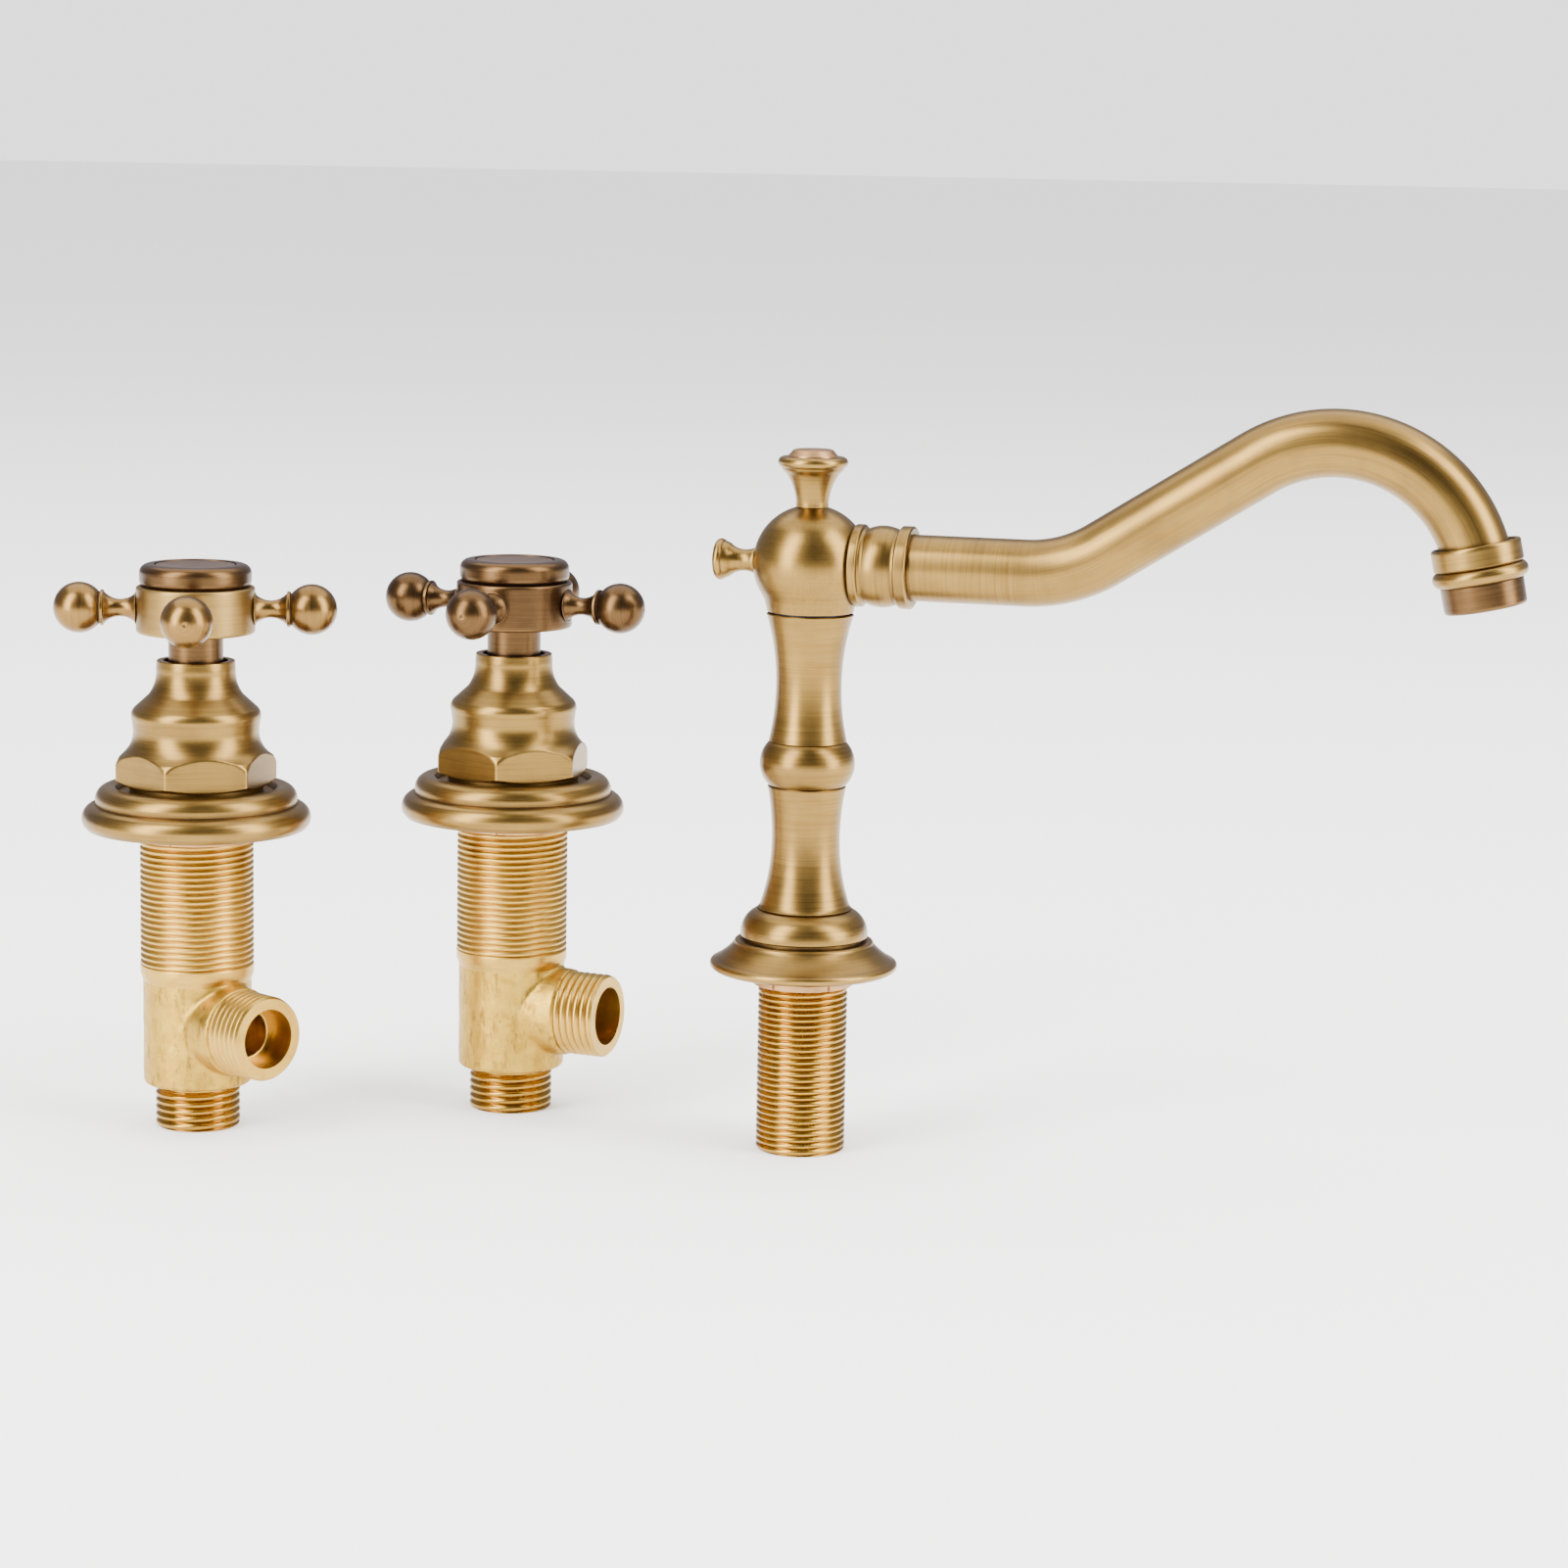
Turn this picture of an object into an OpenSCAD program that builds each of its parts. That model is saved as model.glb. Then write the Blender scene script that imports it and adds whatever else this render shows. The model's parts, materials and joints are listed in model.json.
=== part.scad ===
// Deck-mounted basin mixer: a hot valve, a cold valve and a swivelling spout,
// standing side by side on the ends of their threaded shanks.

/* [Layout] */
// Hot valve, distance to the left of the spout
hot_x = 151; // [125:1:220]
// Hot valve, distance behind the spout
hot_y = 5; // [0:1:40]
// Cold valve, distance to the left of the spout
cold_x = 76; // [70:1:110]
// Cold valve, distance behind the spout
cold_y = 34; // [25:1:60]
// Direction of the spout arm, about +Z from +X
arm_heading = -12; // [-40:1:20]
// Turn of the hot handle at rest
hot_handle_turn = 7; // [-40:1:40]
// Turn of the cold handle at rest
cold_handle_turn = -15; // [-40:1:40]
// Direction of the hot side outlet
hot_outlet_turn = -40; // [-60:1:0]
// Direction of the cold side outlet
cold_outlet_turn = -20; // [-60:1:0]
// Turn of the hot bell's hexagon
hot_hex_turn = 19; // [0:1:60]
// Turn of the cold bell's hexagon
cold_hex_turn = 25; // [0:1:60]

/* [Valve] */
// Outside diameter of the valve shank thread, M28
shank_d = 28; // [26:0.5:30]
// Outside diameter of the G1/2 pipe thread
pipe_d = 20.955; // [20.955]
// Diameter of the cast lower body
cast_d = 26.8; // [25:0.1:27.5]
// Height where the shank thread begins
shank_z = 38.4; // [36:0.2:42]
// Height of the deck face under the valve flange
deck_z = 75.2; // [70:0.2:78]
// Height of the side outlet's axis
outlet_z = 26; // [24:0.5:27]
// Distance from the valve axis to the mouth of the outlet
outlet_reach = 27.3; // [25:0.1:32]
// Bore of the inlet and outlet mouths
port_d = 14.7; // [12:0.1:16]
// Flange diameter
flange_d = 56.2; // [52:0.2:60]
// Across flats of the bell's hexagon
hex_af = 34.5; // [34:0.1:36]

/* [Handle] */
// Hub diameter
hub_d = 29; // [26:0.2:29]
// Height of the hub's underside
hub_z = 123.5; // [122:0.5:126]
// Hub height
hub_h = 11.5; // [10:0.5:13]
// Diameter of the cap ring
cap_d = 27.4; // [25:0.2:28.4]
// Height of the cap ring
cap_h = 5.5; // [4:0.1:7]
// Distance from the valve axis to a ball's centre
ball_reach = 28.3; // [28.3:0.1:34]
// Diameter of the ball on each handle arm
arm_ball_d = 12.6; // [10:0.1:14]

/* [Spout] */
// Outside diameter of the spout shank thread, M22
spout_shank_d = 22; // [20:0.5:24]
// Height of the deck face under the spout flange
spout_deck_z = 45; // [40:0.5:60]
// Diameter of the spout flange
spout_flange_d = 46; // [45:0.5:50]
// Height of the ball's centre
ball_z = 144.8; // [144.8]
// Diameter of the ball that carries the arm
ball_d = 28.2; // [27:0.2:30]
// Outside diameter of the arm tube
tube_d = 16; // [15:0.5:16]
// Wall of the arm tube
tube_wall = 1; // [0.8:0.1:1.5]
// Length of the level stretch, from the spout axis
level_u = 52.9; // [45:0.5:60]
// Centre-line radius of both bends
bend_r = 34.375; // [31.25:0.625:37.5]
// Length of the climbing stretch
climb_l = 42.5; // [37.5:1.25:50]
// Fall of the tube where it meets the aerator
fall_deg = 78; // [70:1:90]

/* [Hidden] */

$fn = 96;
// screwed and pressed joints are drawn plain, with this radial gap
gap = 0.05;
// radial gap of the turning fits
running = 0.06;

BRASS = "#b08d57";
DARK_BRASS = "#8f6f45";
RAW_BRASS = "#c9a24b";
RUBBER = "#2b2b2b";
CERAMIC = "#e9e6df";
PLASTIC = "#f2f0ea";
BLACK_PLASTIC = "#2a2a2c";
STEEL = "#b9bcc0";

// A valve as [position, handle turn, outlet direction, hexagon turn]
HOT = [[-hot_x, hot_y, 0], hot_handle_turn, hot_outlet_turn, hot_hex_turn];
COLD = [[-cold_x, cold_y, 0], cold_handle_turn, cold_outlet_turn, cold_hex_turn];

shank_r = shank_d / 2;
pipe_r = pipe_d / 2;
port_r = port_d / 2;
inlet_l = 10.9;
seat_z = 50;
body_top_z = 88;
chamber_r = 10.3;
riser_r = 7.4;
stem_r = 4;
hub_top_z = hub_z + hub_h;
arm_z = hub_z + 6;
cap_top_z = hub_top_z + cap_h;
web_top_z = hub_z + 5;
cartridge_top_z = 104;
clip_z = cartridge_top_z + 0.15;
clip_t = 0.7;
spindle_seal_z = [76, 82];
arm_turns = [0:90:270];

spout_shank_r = spout_shank_d / 2;
// underside of the ring nut, where the open thread ends
spout_nut_z = spout_deck_z - 3.6;
// from there up the shank is turned down to this radius
neck_r = spout_shank_r - 0.5;
shank_top_z = spout_deck_z + 13.2;
foot_z = spout_deck_z + 14.9;
column_top_z = 132.7;
socket_floor_z = 117.5;
socket_r = 6.6;
swivel_r = 5.5;
swivel_seal_z = [120.5, 124];
swivel_clip_z = 126.15;
ball_r = ball_d / 2;
tube_r = tube_d / 2;
boss_r = 8.4;
boss_end_u = 20;
tube_start_u = 20.6;
nut_end_u = 25.4;
// flat seats of the two finials, on top of the ball and behind it
finial_seat_z = ball_z + ball_r - 0.5;
rear_seat_u = ball_r - 0.3;
// the finial's cap sits in its top, this far over the seat
cap_seat = 10.9;

// the climb is the 336-527-625 triangle, so its sine and cosine are exact decimals
climb_sin = 336 / 625;
climb_cos = 527 / 625;
climb_deg = atan2(336, 527);
// bends of the arm in its own upright plane, as [distance, height] centres
bend1_c = [level_u, ball_z + bend_r];
climb0 = bend1_c + bend_r * [climb_sin, -climb_cos];
climb1 = climb0 + climb_l * [climb_cos, climb_sin];
bend2_c = climb1 + bend_r * [climb_sin, -climb_cos];
arm_end = bend2_c + bend_r * [sin(fall_deg), cos(fall_deg)];
// how far the aerator collar reaches back over the tube
collar_back = 5.3;

function arc(c, r, a0, a1, n = 8) =
  [for (i = [0:n]) let (a = a0 + (a1 - a0) * i / n) c + r * [cos(a), sin(a)]];

module turned(points) rotate_extrude() polygon(points);

module tube(r_out, r_in, z0, z1) translate([0, 0, z0]) difference() {
  cylinder(r = r_out, h = z1 - z0);
  translate([0, 0, -1]) cylinder(r = r_in, h = z1 - z0 + 2);
}

module o_ring(r_mid, wire_r, z) translate([0, 0, z]) rotate_extrude()
  translate([r_mid, 0]) circle(wire_r, $fn = 32);

module at_valve(v) translate(v[0]) children();
module on_handle(v) translate(v[0]) rotate(v[1]) children();
module on_arm() rotate(arm_heading) children();
module behind_ball() on_arm() translate([0, 0, ball_z]) rotate([0, -90, 0]) children();
// along the level part of the arm, +Z becomes the arm's direction
module along_arm() on_arm() translate([0, 0, ball_z]) rotate([0, 90, 0]) children();
// down the aerator's axis, starting at the top of its collar
module down_aerator() on_arm() translate([arm_end[0], 0, arm_end[1]])
  rotate([0, 90 + fall_deg, 0]) translate([0, 0, -collar_back]) children();

// ---- Valve, fixed pieces -------------------------------------------------

module side_port(v, r, u0, u1) rotate(v[2]) translate([0, 0, outlet_z])
  rotate([0, 90, 0]) translate([0, 0, u0]) cylinder(r = r, h = u1 - u0);

module valve_body(v) color(RAW_BRASS) at_valve(v) difference() {
  union() {
    turned([[0, 0], [pipe_r, 0], [pipe_r, inlet_l - 1], [pipe_r - 0.7, inlet_l - 0.6],
      [pipe_r - 0.7, inlet_l], [cast_d / 2 - 0.7, inlet_l], [cast_d / 2, inlet_l + 0.7],
      [cast_d / 2, shank_z - 0.8], [shank_r, shank_z - 0.2], [shank_r, body_top_z - 0.8],
      [shank_r - 0.8, body_top_z], [0, body_top_z]]);
    side_port(v, pipe_r + 0.5, 6, 17);
    side_port(v, pipe_r, 16, outlet_reach);
  }
  // inlet mouth and the riser to the seat
  translate([0, 0, -1]) cylinder(r = port_r, h = 9);
  cylinder(r = 5, h = seat_z + 1);
  // annular return passage round the riser
  tube(chamber_r, riser_r, 17, seat_z);
  translate([0, 0, seat_z]) cylinder(r = chamber_r, h = body_top_z);
  // outlet mouth and its inner step
  side_port(v, port_r, 20, outlet_reach + 1);
  side_port(v, 5.5, 8.8, 21);
}

module ring_nut(bore_r, rim_r, z0, z1) color(RAW_BRASS) difference() {
  tube(rim_r, bore_r + gap, z0, z1);
  for (a = [0:60:300]) rotate(a) translate([rim_r - 0.6, -0.9, z0 - 1]) cube([2, 1.8, z1 - z0 + 2]);
}

module flange_nut(v) at_valve(v) rotate(v[3]) ring_nut(shank_r, shank_r + 1.2, deck_z - 2.6, deck_z + 4.1);

module flange(v) color(BRASS) at_valve(v) turned(concat(
  [[shank_r + 0.2, deck_z + 4.2], [shank_r + 0.2, deck_z + 8.8], [19.2, deck_z + 8.8]],
  arc([flange_d / 2 - 6.7, deck_z + 7.2], 3.4, 115, 0),
  [[flange_d / 2 - 3.7, deck_z + 6.1]],
  arc([flange_d / 2 - 3.5, deck_z + 2.5], 3.5, 85, -20, 12),
  [[flange_d / 2 - 1.2, deck_z], [22, deck_z], [21, deck_z + 4.2]]));

module bell_outline() polygon(concat(
  // foot spigot and hexagon zone
  [[shank_r + gap, deck_z + 8.8], [16.4, deck_z + 8.8], [16.4, deck_z + 10.9],
    [17.25, deck_z + 10.9], [20.4, deck_z + 12.2], [20.4, deck_z + 15.2]],
  // flare up to the waist
  arc([22.9, deck_z + 24.1], 7.5, 238, 178, 8),
  // rounded shoulder
  arc([13.1, deck_z + 27.9], 2.8, -22, 42, 8),
  // hollow neck up to the rim
  arc([19.6, deck_z + 38.9], 9.9, 216, 176, 8),
  [[9.5, deck_z + 41.3], [9.2, deck_z + 41.6], [7.85, deck_z + 41.6], [7.85, deck_z + 37.5]],
  // cavity
  [[10.4, deck_z + 33], [13.2, deck_z + 29.5], [13.2, deck_z + 19.5], [shank_r + gap, deck_z + 18.2]]));

module bell_cover(v) color(BRASS) at_valve(v) rotate(v[3]) intersection() {
  rotate_extrude() bell_outline();
  translate([0, 0, deck_z]) cylinder(r = hex_af / 2 / cos(30), h = 60, $fn = 6);
}

module cartridge_body(v) color(BRASS) at_valve(v) difference() {
  union() {
    translate([0, 0, seat_z + 1.2]) cylinder(r = 9.4, h = 28);
    translate([0, 0, body_top_z - 11]) cylinder(r = chamber_r - gap, h = 12);
    translate([0, 0, body_top_z + 0.8]) cylinder(r = 13.2, h = 2);
    translate([0, 0, body_top_z + 2.7]) cylinder(r = 19 / 2 / cos(30), h = 4.3, $fn = 6);
    cylinder(r = 6.2, h = cartridge_top_z);
  }
  translate([0, 0, -1]) cylinder(r = 8.25, h = 68);
  cylinder(r = stem_r + running, h = cartridge_top_z + 1);
  // side windows where the mixed stream leaves
  translate([0, 0, 63.5]) rotate([90, 0, 0]) cylinder(r = 2.2, h = 24, center = true);
  translate([0, 0, 63.5]) rotate([0, 90, 0]) cylinder(r = 2.2, h = 24, center = true);
}

module bonnet_gasket(v) color(RUBBER) at_valve(v)
  tube(13.2, chamber_r + 0.4, body_top_z, body_top_z + 0.8);

module seat_seal(v) color(RUBBER) at_valve(v) tube(8.1, 5.2, seat_z, seat_z + 2);

module ported_disc(r, z0, z1) color(CERAMIC) difference() {
  translate([0, 0, z0]) cylinder(r = r, h = z1 - z0);
  for (x = [-4.4, 4.4]) translate([x, 0, z0 - 1]) cylinder(r = 2.3, h = z1 - z0 + 2);
}

module fixed_disc(v) at_valve(v) ported_disc(8, seat_z + 2, seat_z + 5);

// ---- Valve, pieces that turn with the handle -----------------------------

module moving_disc(v) on_handle(v) rotate(90) ported_disc(7.9, seat_z + 5.05, seat_z + 8);

module spindle(v) color(BRASS) on_handle(v) difference() {
  union() {
    translate([0, 0, seat_z + 8]) cylinder(r = 7.6, h = 3);
    cylinder(r = stem_r, h = 110);
    cylinder(r = stem_r - 0.2, h = hub_z + 4);
  }
  translate([0, 0, -1]) cylinder(r = 12, h = seat_z + 9);
  for (z = spindle_seal_z) tube(stem_r + 1, 2.7, z - 0.8, z + 0.8);
  // snap ring groove, over the top of the cartridge
  tube(stem_r + 1, 3.4, clip_z - 0.05, clip_z + clip_t + 0.05);
  translate([0, 0, hub_z - 8]) cylinder(r = 1.7, h = 20);
}

module spindle_seals(v) color(RUBBER) on_handle(v)
  for (z = spindle_seal_z) o_ring(3.36, 0.64, z);

module snap_ring(r_out, r_in, z) color(STEEL) difference() {
  tube(r_out, r_in, z, z + clip_t);
  translate([0, -1.5, z - 1]) cube([10, 3, clip_t + 2]);
}

module spindle_clip(v) on_handle(v) snap_ring(5.8, 3.42, clip_z);

module handle_hub(v) color(BRASS) on_handle(v) difference() {
  turned(concat([[0, hub_z]],
    arc([hub_d / 2 - 1, hub_z + 1], 1, -90, 0, 5),
    arc([hub_d / 2 - 1, hub_top_z - 1], 1, 0, 90, 5),
    [[0, hub_top_z]]));
  translate([0, 0, hub_z - 1]) cylinder(r = stem_r - 0.2 + gap, h = 20);
  translate([0, 0, web_top_z]) cylinder(r = 9.6, h = 20);
  // shallow spigot seat of the skirt
  tube(6.7 + gap, 5.2, hub_z - 1, hub_z + 1);
  for (a = arm_turns) rotate(a) translate([11, 0, arm_z]) rotate([0, 90, 0]) cylinder(r = 2 + gap, h = 8);
}

module handle_skirt(v) color(DARK_BRASS) on_handle(v) tube(6.7, 5.2, cartridge_top_z + 2.5, hub_z + 1);

module handle_arms(v) color(BRASS) on_handle(v) for (a = arm_turns) rotate(a)
  translate([0, 0, arm_z]) rotate([0, 90, 0]) turned(concat(
    [[0, 11.2], [2, 11.2], [2, hub_d / 2 + 0.05], [4, hub_d / 2 + 0.05]],
    arc([7.35, ball_reach - 10], 5.2, 226, 134, 8),
    [[4, ball_reach - 6.1], [4.45, ball_reach - 5.9], [4.45, ball_reach - 5.1], [3.9, ball_reach - 4.95]],
    arc([0, ball_reach], arm_ball_d / 2, -51, 90, 14)));

module handle_screw(v) color(STEEL) on_handle(v) difference() {
  union() {
    translate([0, 0, web_top_z]) cylinder(r = 3.6, h = 2.4);
    translate([0, 0, hub_z - 6]) cylinder(r = 1.65, h = 12);
  }
  translate([0, 0, web_top_z + 1]) cylinder(r = 1.6, h = 4, $fn = 6);
}

module cap_ring(v) color(DARK_BRASS) on_handle(v) turned(concat(
  [[9.5, web_top_z + 4], [9.5, hub_top_z], [cap_d / 2 - 0.6, hub_top_z]],
  arc([cap_d / 2 - 1.8, hub_top_z + 1.6], 1.8, -35, 0, 4),
  arc([cap_d / 2 - 2.2, cap_top_z - 2.2], 2.2, 0, 90, 8),
  [[9.9, cap_top_z], [9.9, cap_top_z - 1.6], [8, cap_top_z - 1.6], [8, web_top_z + 4]]));

module index_disc(v) color(DARK_BRASS) on_handle(v) turned(
  [[0, cap_top_z - 1.6], [9.7, cap_top_z - 1.6], [9.7, cap_top_z - 0.25], [9.4, cap_top_z - 0.1],
    [6, cap_top_z - 0.4], [0, cap_top_z - 0.6]]);

// ---- Spout, fixed pieces -------------------------------------------------

module spout_shank() color(RAW_BRASS) difference() {
  union() {
    tube(spout_shank_r, 7.5, 0, spout_nut_z);
    tube(neck_r, 7.5, spout_nut_z - 1, shank_top_z);
  }
  translate([0, 0, spout_deck_z + 2]) cylinder(r = 8 + gap, h = 20);
}

module spout_flange_nut() ring_nut(neck_r, spout_shank_r + 1.35, spout_nut_z, spout_deck_z + 2.5);

module spout_flange() color(BRASS) turned(concat(
  [[neck_r + gap, spout_deck_z + 2.6], [neck_r + gap, spout_deck_z + 7.4], [16.5, spout_deck_z + 7.4],
    [16.95, spout_deck_z + 7.1]],
  // shallow dish down to the rim
  arc([31, spout_deck_z + 18], 18, 219.2, 240.9, 6),
  arc([spout_flange_d / 2 - 1.1, spout_deck_z + 1.25], 1.1, 65, -60, 8),
  [[spout_flange_d / 2 - 1, spout_deck_z], [18, spout_deck_z], [17.2, spout_deck_z + 2.6]]));

module base_bead() color(BRASS) turned(concat(
  [[neck_r + gap, spout_deck_z + 7.4], [14.4, spout_deck_z + 7.4], [14.4, spout_deck_z + 8.2]],
  arc([9.3, spout_deck_z + 9.1], 6.3, -8, 67, 12),
  [[8.6, foot_z], [8.6, shank_top_z + 0.1], [neck_r + gap, shank_top_z + 0.1]]));

module column_outline() polygon(concat(
  [[5, spout_deck_z + 4], [8, spout_deck_z + 4], [8, foot_z], [11.1, foot_z], [11.4, foot_z + 0.4]],
  arc([8.3 + 52, 77.5], 52, 198.6, 180, 8),
  arc([8.3 + 66, 77.5], 66, 179.5, 168.6, 6),
  arc([4.1, 96], 7.5, -42, 42, 12),
  arc([7.95 + 62, 115.3], 62, 192.8, 180, 8),
  arc([7.95 + 58, 115.3], 58, 179.5, 163.3, 8),
  [[10.6, column_top_z - 0.4], [10.3, column_top_z], [socket_r, column_top_z],
    [socket_r, socket_floor_z], [5, socket_floor_z]]));

module column() color(BRASS) rotate_extrude() column_outline();

module swivel_bush() color(BLACK_PLASTIC) turned([[swivel_r + running, swivel_clip_z + 0.85],
  [socket_r - gap, swivel_clip_z + 0.85], [socket_r - gap, column_top_z], [9.4, column_top_z],
  [9.4, column_top_z + 0.35], [swivel_r + running, column_top_z + 0.35]]);

// ---- Spout, pieces that swing --------------------------------------------

module swivel_stem() color(BRASS) difference() {
  tube(swivel_r, 3.5, socket_floor_z + 0.5, column_top_z + 6.3);
  for (z = swivel_seal_z) tube(swivel_r + 1, 4.65, z - 1.1, z + 1.1);
  tube(swivel_r + 1, 4.9, swivel_clip_z - 0.05, swivel_clip_z + clip_t + 0.05);
}

module swivel_seals() color(RUBBER) for (z = swivel_seal_z) o_ring(5.6, 0.9, z);

module swivel_clip() snap_ring(6.3, 4.95, swivel_clip_z);

module ball_body() color(BRASS) difference() {
  union() {
    translate([0, 0, ball_z]) sphere(ball_r);
    translate([0, 0, column_top_z + 0.4]) cylinder(r1 = 10.5, r2 = 11.4, h = 3.4);
    along_arm() cylinder(r = boss_r, h = boss_end_u);
  }
  translate([0, 0, ball_z]) sphere(ball_r - 3.2);
  // flat underside, just clear of the column's bush
  translate([0, 0, column_top_z - 9.6]) cylinder(r = ball_r, h = 10);
  translate([0, 0, column_top_z - 1]) cylinder(r = swivel_r + gap, h = 8);
  along_arm() cylinder(r = 6, h = boss_end_u + 1);
  // flat seats and holes of the two finials
  translate([0, 0, finial_seat_z]) cylinder(r = 6, h = 5);
  translate([0, 0, ball_z]) cylinder(r = 2 + gap, h = 20);
  behind_ball() translate([0, 0, rear_seat_u]) cylinder(r = 5, h = 5);
  behind_ball() cylinder(r = 2 + gap, h = 20);
}

module top_finial() color(BRASS) translate([0, 0, finial_seat_z]) difference() {
  turned(concat(
    [[0, -3.5], [2, -3.5], [2, 0], [3.9, 0]],
    arc([17.7, 0.1], 13.8, 176, 145, 6),
    [[7.4, 9]],
    arc([7.1, 10.8], 1.35, -60, 90, 8),
    [[0, 12.15]]));
  translate([0, 0, cap_seat]) cylinder(r = 6, h = 5);
}

module finial_cap() color(DARK_BRASS) translate([0, 0, finial_seat_z + cap_seat]) turned(
  [[0, 0], [5.95, 0], [5.95, 1.5], [5.6, 1.8], [4.85, 2.8], [4.4, 3], [0, 3]]);

module rear_finial() color(BRASS) behind_ball() turned(concat(
  [[0, 10.8], [2, 10.8], [2, rear_seat_u], [3.1, rear_seat_u]],
  arc([8.2, 16.6], 5.6, 205, 137, 8),
  [[4.5, 21.4]],
  arc([3.85, 22.6], 1.2, -55, 60, 6),
  [[2.5, 24.2], [0, 24.5]]));

module arm_nut() color(BRASS) along_arm() turned(concat(
  [[boss_r + gap, 11.4], [9.4, 10.9], [9.85, 11.2], [9.95, 11.7], [9.95, 12.8], [9.6, 13.3], [9.1, 13.5]],
  arc([0.95, 17.85], 8.9, -25, 25, 10),
  [[9.1, 22.2], [9.6, 22.4], [9.95, 22.9], [9.95, 24.8], [9.6, nut_end_u], [tube_r + gap, nut_end_u],
    [tube_r + gap, 22.5], [boss_r + gap, 22.4]]));

module arm_gasket() color(RUBBER) along_arm() tube(boss_r - 0.1, 6.2, boss_end_u, tube_start_u);

module tube_ferrule() color(RAW_BRASS) along_arm() tube(boss_r, tube_r + 0.02, tube_start_u, 22.4);

// a solid rod of radius r along the arm's centre line, longer than the tube at each end:
// by over millimetres where it enters the nut, and by over degrees of the last bend
module arm_rod(r, over) {
  translate([tube_start_u - over, 0, ball_z]) rotate([0, 90, 0])
    cylinder(r = r, h = level_u - tube_start_u + over);
  arm_bend(r, bend1_c, -90, climb_deg);
  translate([climb0[0], 0, climb0[1]]) rotate([0, 90 - climb_deg, 0]) cylinder(r = r, h = climb_l);
  arm_bend(r, bend2_c, 90 + climb_deg, -climb_deg - fall_deg - over);
}

// a round bend in the arm's plane, about centre c, from angle a0 through sweep degrees
module arm_bend(r, c, a0, sweep) translate([c[0], 0, c[1]]) rotate([90, 0, 0]) rotate(a0)
  rotate_extrude(angle = sweep) translate([bend_r, 0]) circle(r);

module arm_tube() color(BRASS) on_arm() difference() {
  arm_rod(tube_r, 0);
  arm_rod(tube_r - tube_wall, 1);
}

module tube_end_ring() color(DARK_BRASS) down_aerator() tube(9.35, tube_r + 0.6, 0.5, 6.8);

module aerator_collar() color(BRASS) down_aerator() turned(concat(
  [[9.45, 0.3], [9.75, 0], [10.1, 0], [10.45, 0.4], [10.5, 4.8], [10.2, 5.2]],
  arc([9.2, 7.05], 1.95, -72, 72, 10),
  [[9.6, 8.9], [9.45, 8.9]]));

module aerator_barrel() color(DARK_BRASS) down_aerator() turned(concat(
  [[8.35, 7.2], [9.35, 7.2], [9.35, 8.9], [9.7, 8.95]],
  arc([8.7, 14.3], 0.9, 0, 90, 5),
  [[7.7, 15.2], [7.7, 14.6], [8.35, 14.6]]));

module aerator_gasket() color(RUBBER) down_aerator() tube(8.3, 6.5, 7.4, 8.9);

module aerator_insert() color(PLASTIC) down_aerator() difference() {
  translate([0, 0, 9]) cylinder(r = 8.25, h = 5);
  for (a = [0:45:315]) rotate(a) translate([5.4, 0, 8]) cylinder(r = 1.3, h = 7);
}

module aerator_screen() color(STEEL) down_aerator() translate([0, 0, 14.05]) difference() {
  cylinder(r = 8.25, h = 0.45);
  for (x = [-6:3:6], y = [-6:3:6]) if (norm([x, y]) < 7) translate([x - 1, y - 1, -1]) cube([2, 2, 3]);
}

valve_body(HOT);  // hot_valve_body
flange_nut(HOT);  // hot_flange_nut
flange(HOT);  // hot_flange
bell_cover(HOT);  // hot_bell_cover
cartridge_body(HOT);  // hot_cartridge_body
bonnet_gasket(HOT);  // hot_bonnet_gasket
seat_seal(HOT);  // hot_seat_seal
fixed_disc(HOT);  // hot_fixed_disc
moving_disc(HOT);  // hot_moving_disc
spindle(HOT);  // hot_spindle
spindle_seals(HOT);  // hot_spindle_seals
spindle_clip(HOT);  // hot_spindle_clip
handle_hub(HOT);  // hot_handle_hub
handle_skirt(HOT);  // hot_handle_skirt
handle_arms(HOT);  // hot_handle_arms
handle_screw(HOT);  // hot_handle_screw
cap_ring(HOT);  // hot_cap_ring
index_disc(HOT);  // hot_index_disc
valve_body(COLD);  // cold_valve_body
flange_nut(COLD);  // cold_flange_nut
flange(COLD);  // cold_flange
bell_cover(COLD);  // cold_bell_cover
cartridge_body(COLD);  // cold_cartridge_body
bonnet_gasket(COLD);  // cold_bonnet_gasket
seat_seal(COLD);  // cold_seat_seal
fixed_disc(COLD);  // cold_fixed_disc
moving_disc(COLD);  // cold_moving_disc
spindle(COLD);  // cold_spindle
spindle_seals(COLD);  // cold_spindle_seals
spindle_clip(COLD);  // cold_spindle_clip
handle_hub(COLD);  // cold_handle_hub
handle_skirt(COLD);  // cold_handle_skirt
handle_arms(COLD);  // cold_handle_arms
handle_screw(COLD);  // cold_handle_screw
cap_ring(COLD);  // cold_cap_ring
index_disc(COLD);  // cold_index_disc
spout_shank();
spout_flange_nut();
spout_flange();
base_bead();
column();
swivel_bush();
swivel_stem();
swivel_seals();
swivel_clip();
ball_body();
top_finial();
finial_cap();
rear_finial();
arm_nut();
arm_gasket();
tube_ferrule();
arm_tube();
tube_end_ring();
aerator_collar();
aerator_barrel();
aerator_gasket();
aerator_insert();
aerator_screen();
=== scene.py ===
"""Looks of a widespread basin mixer: a hot valve, a cold valve and a swivelling spout.

Outlines are in millimetres, as (radius, height) pairs; every piece is placed in the frame in metres.
"""

import json
import math
from math import cos, pi, radians, sin, sqrt

import bpy
import bmesh
import numpy as np
from mathutils import Matrix, Vector, noise


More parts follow.
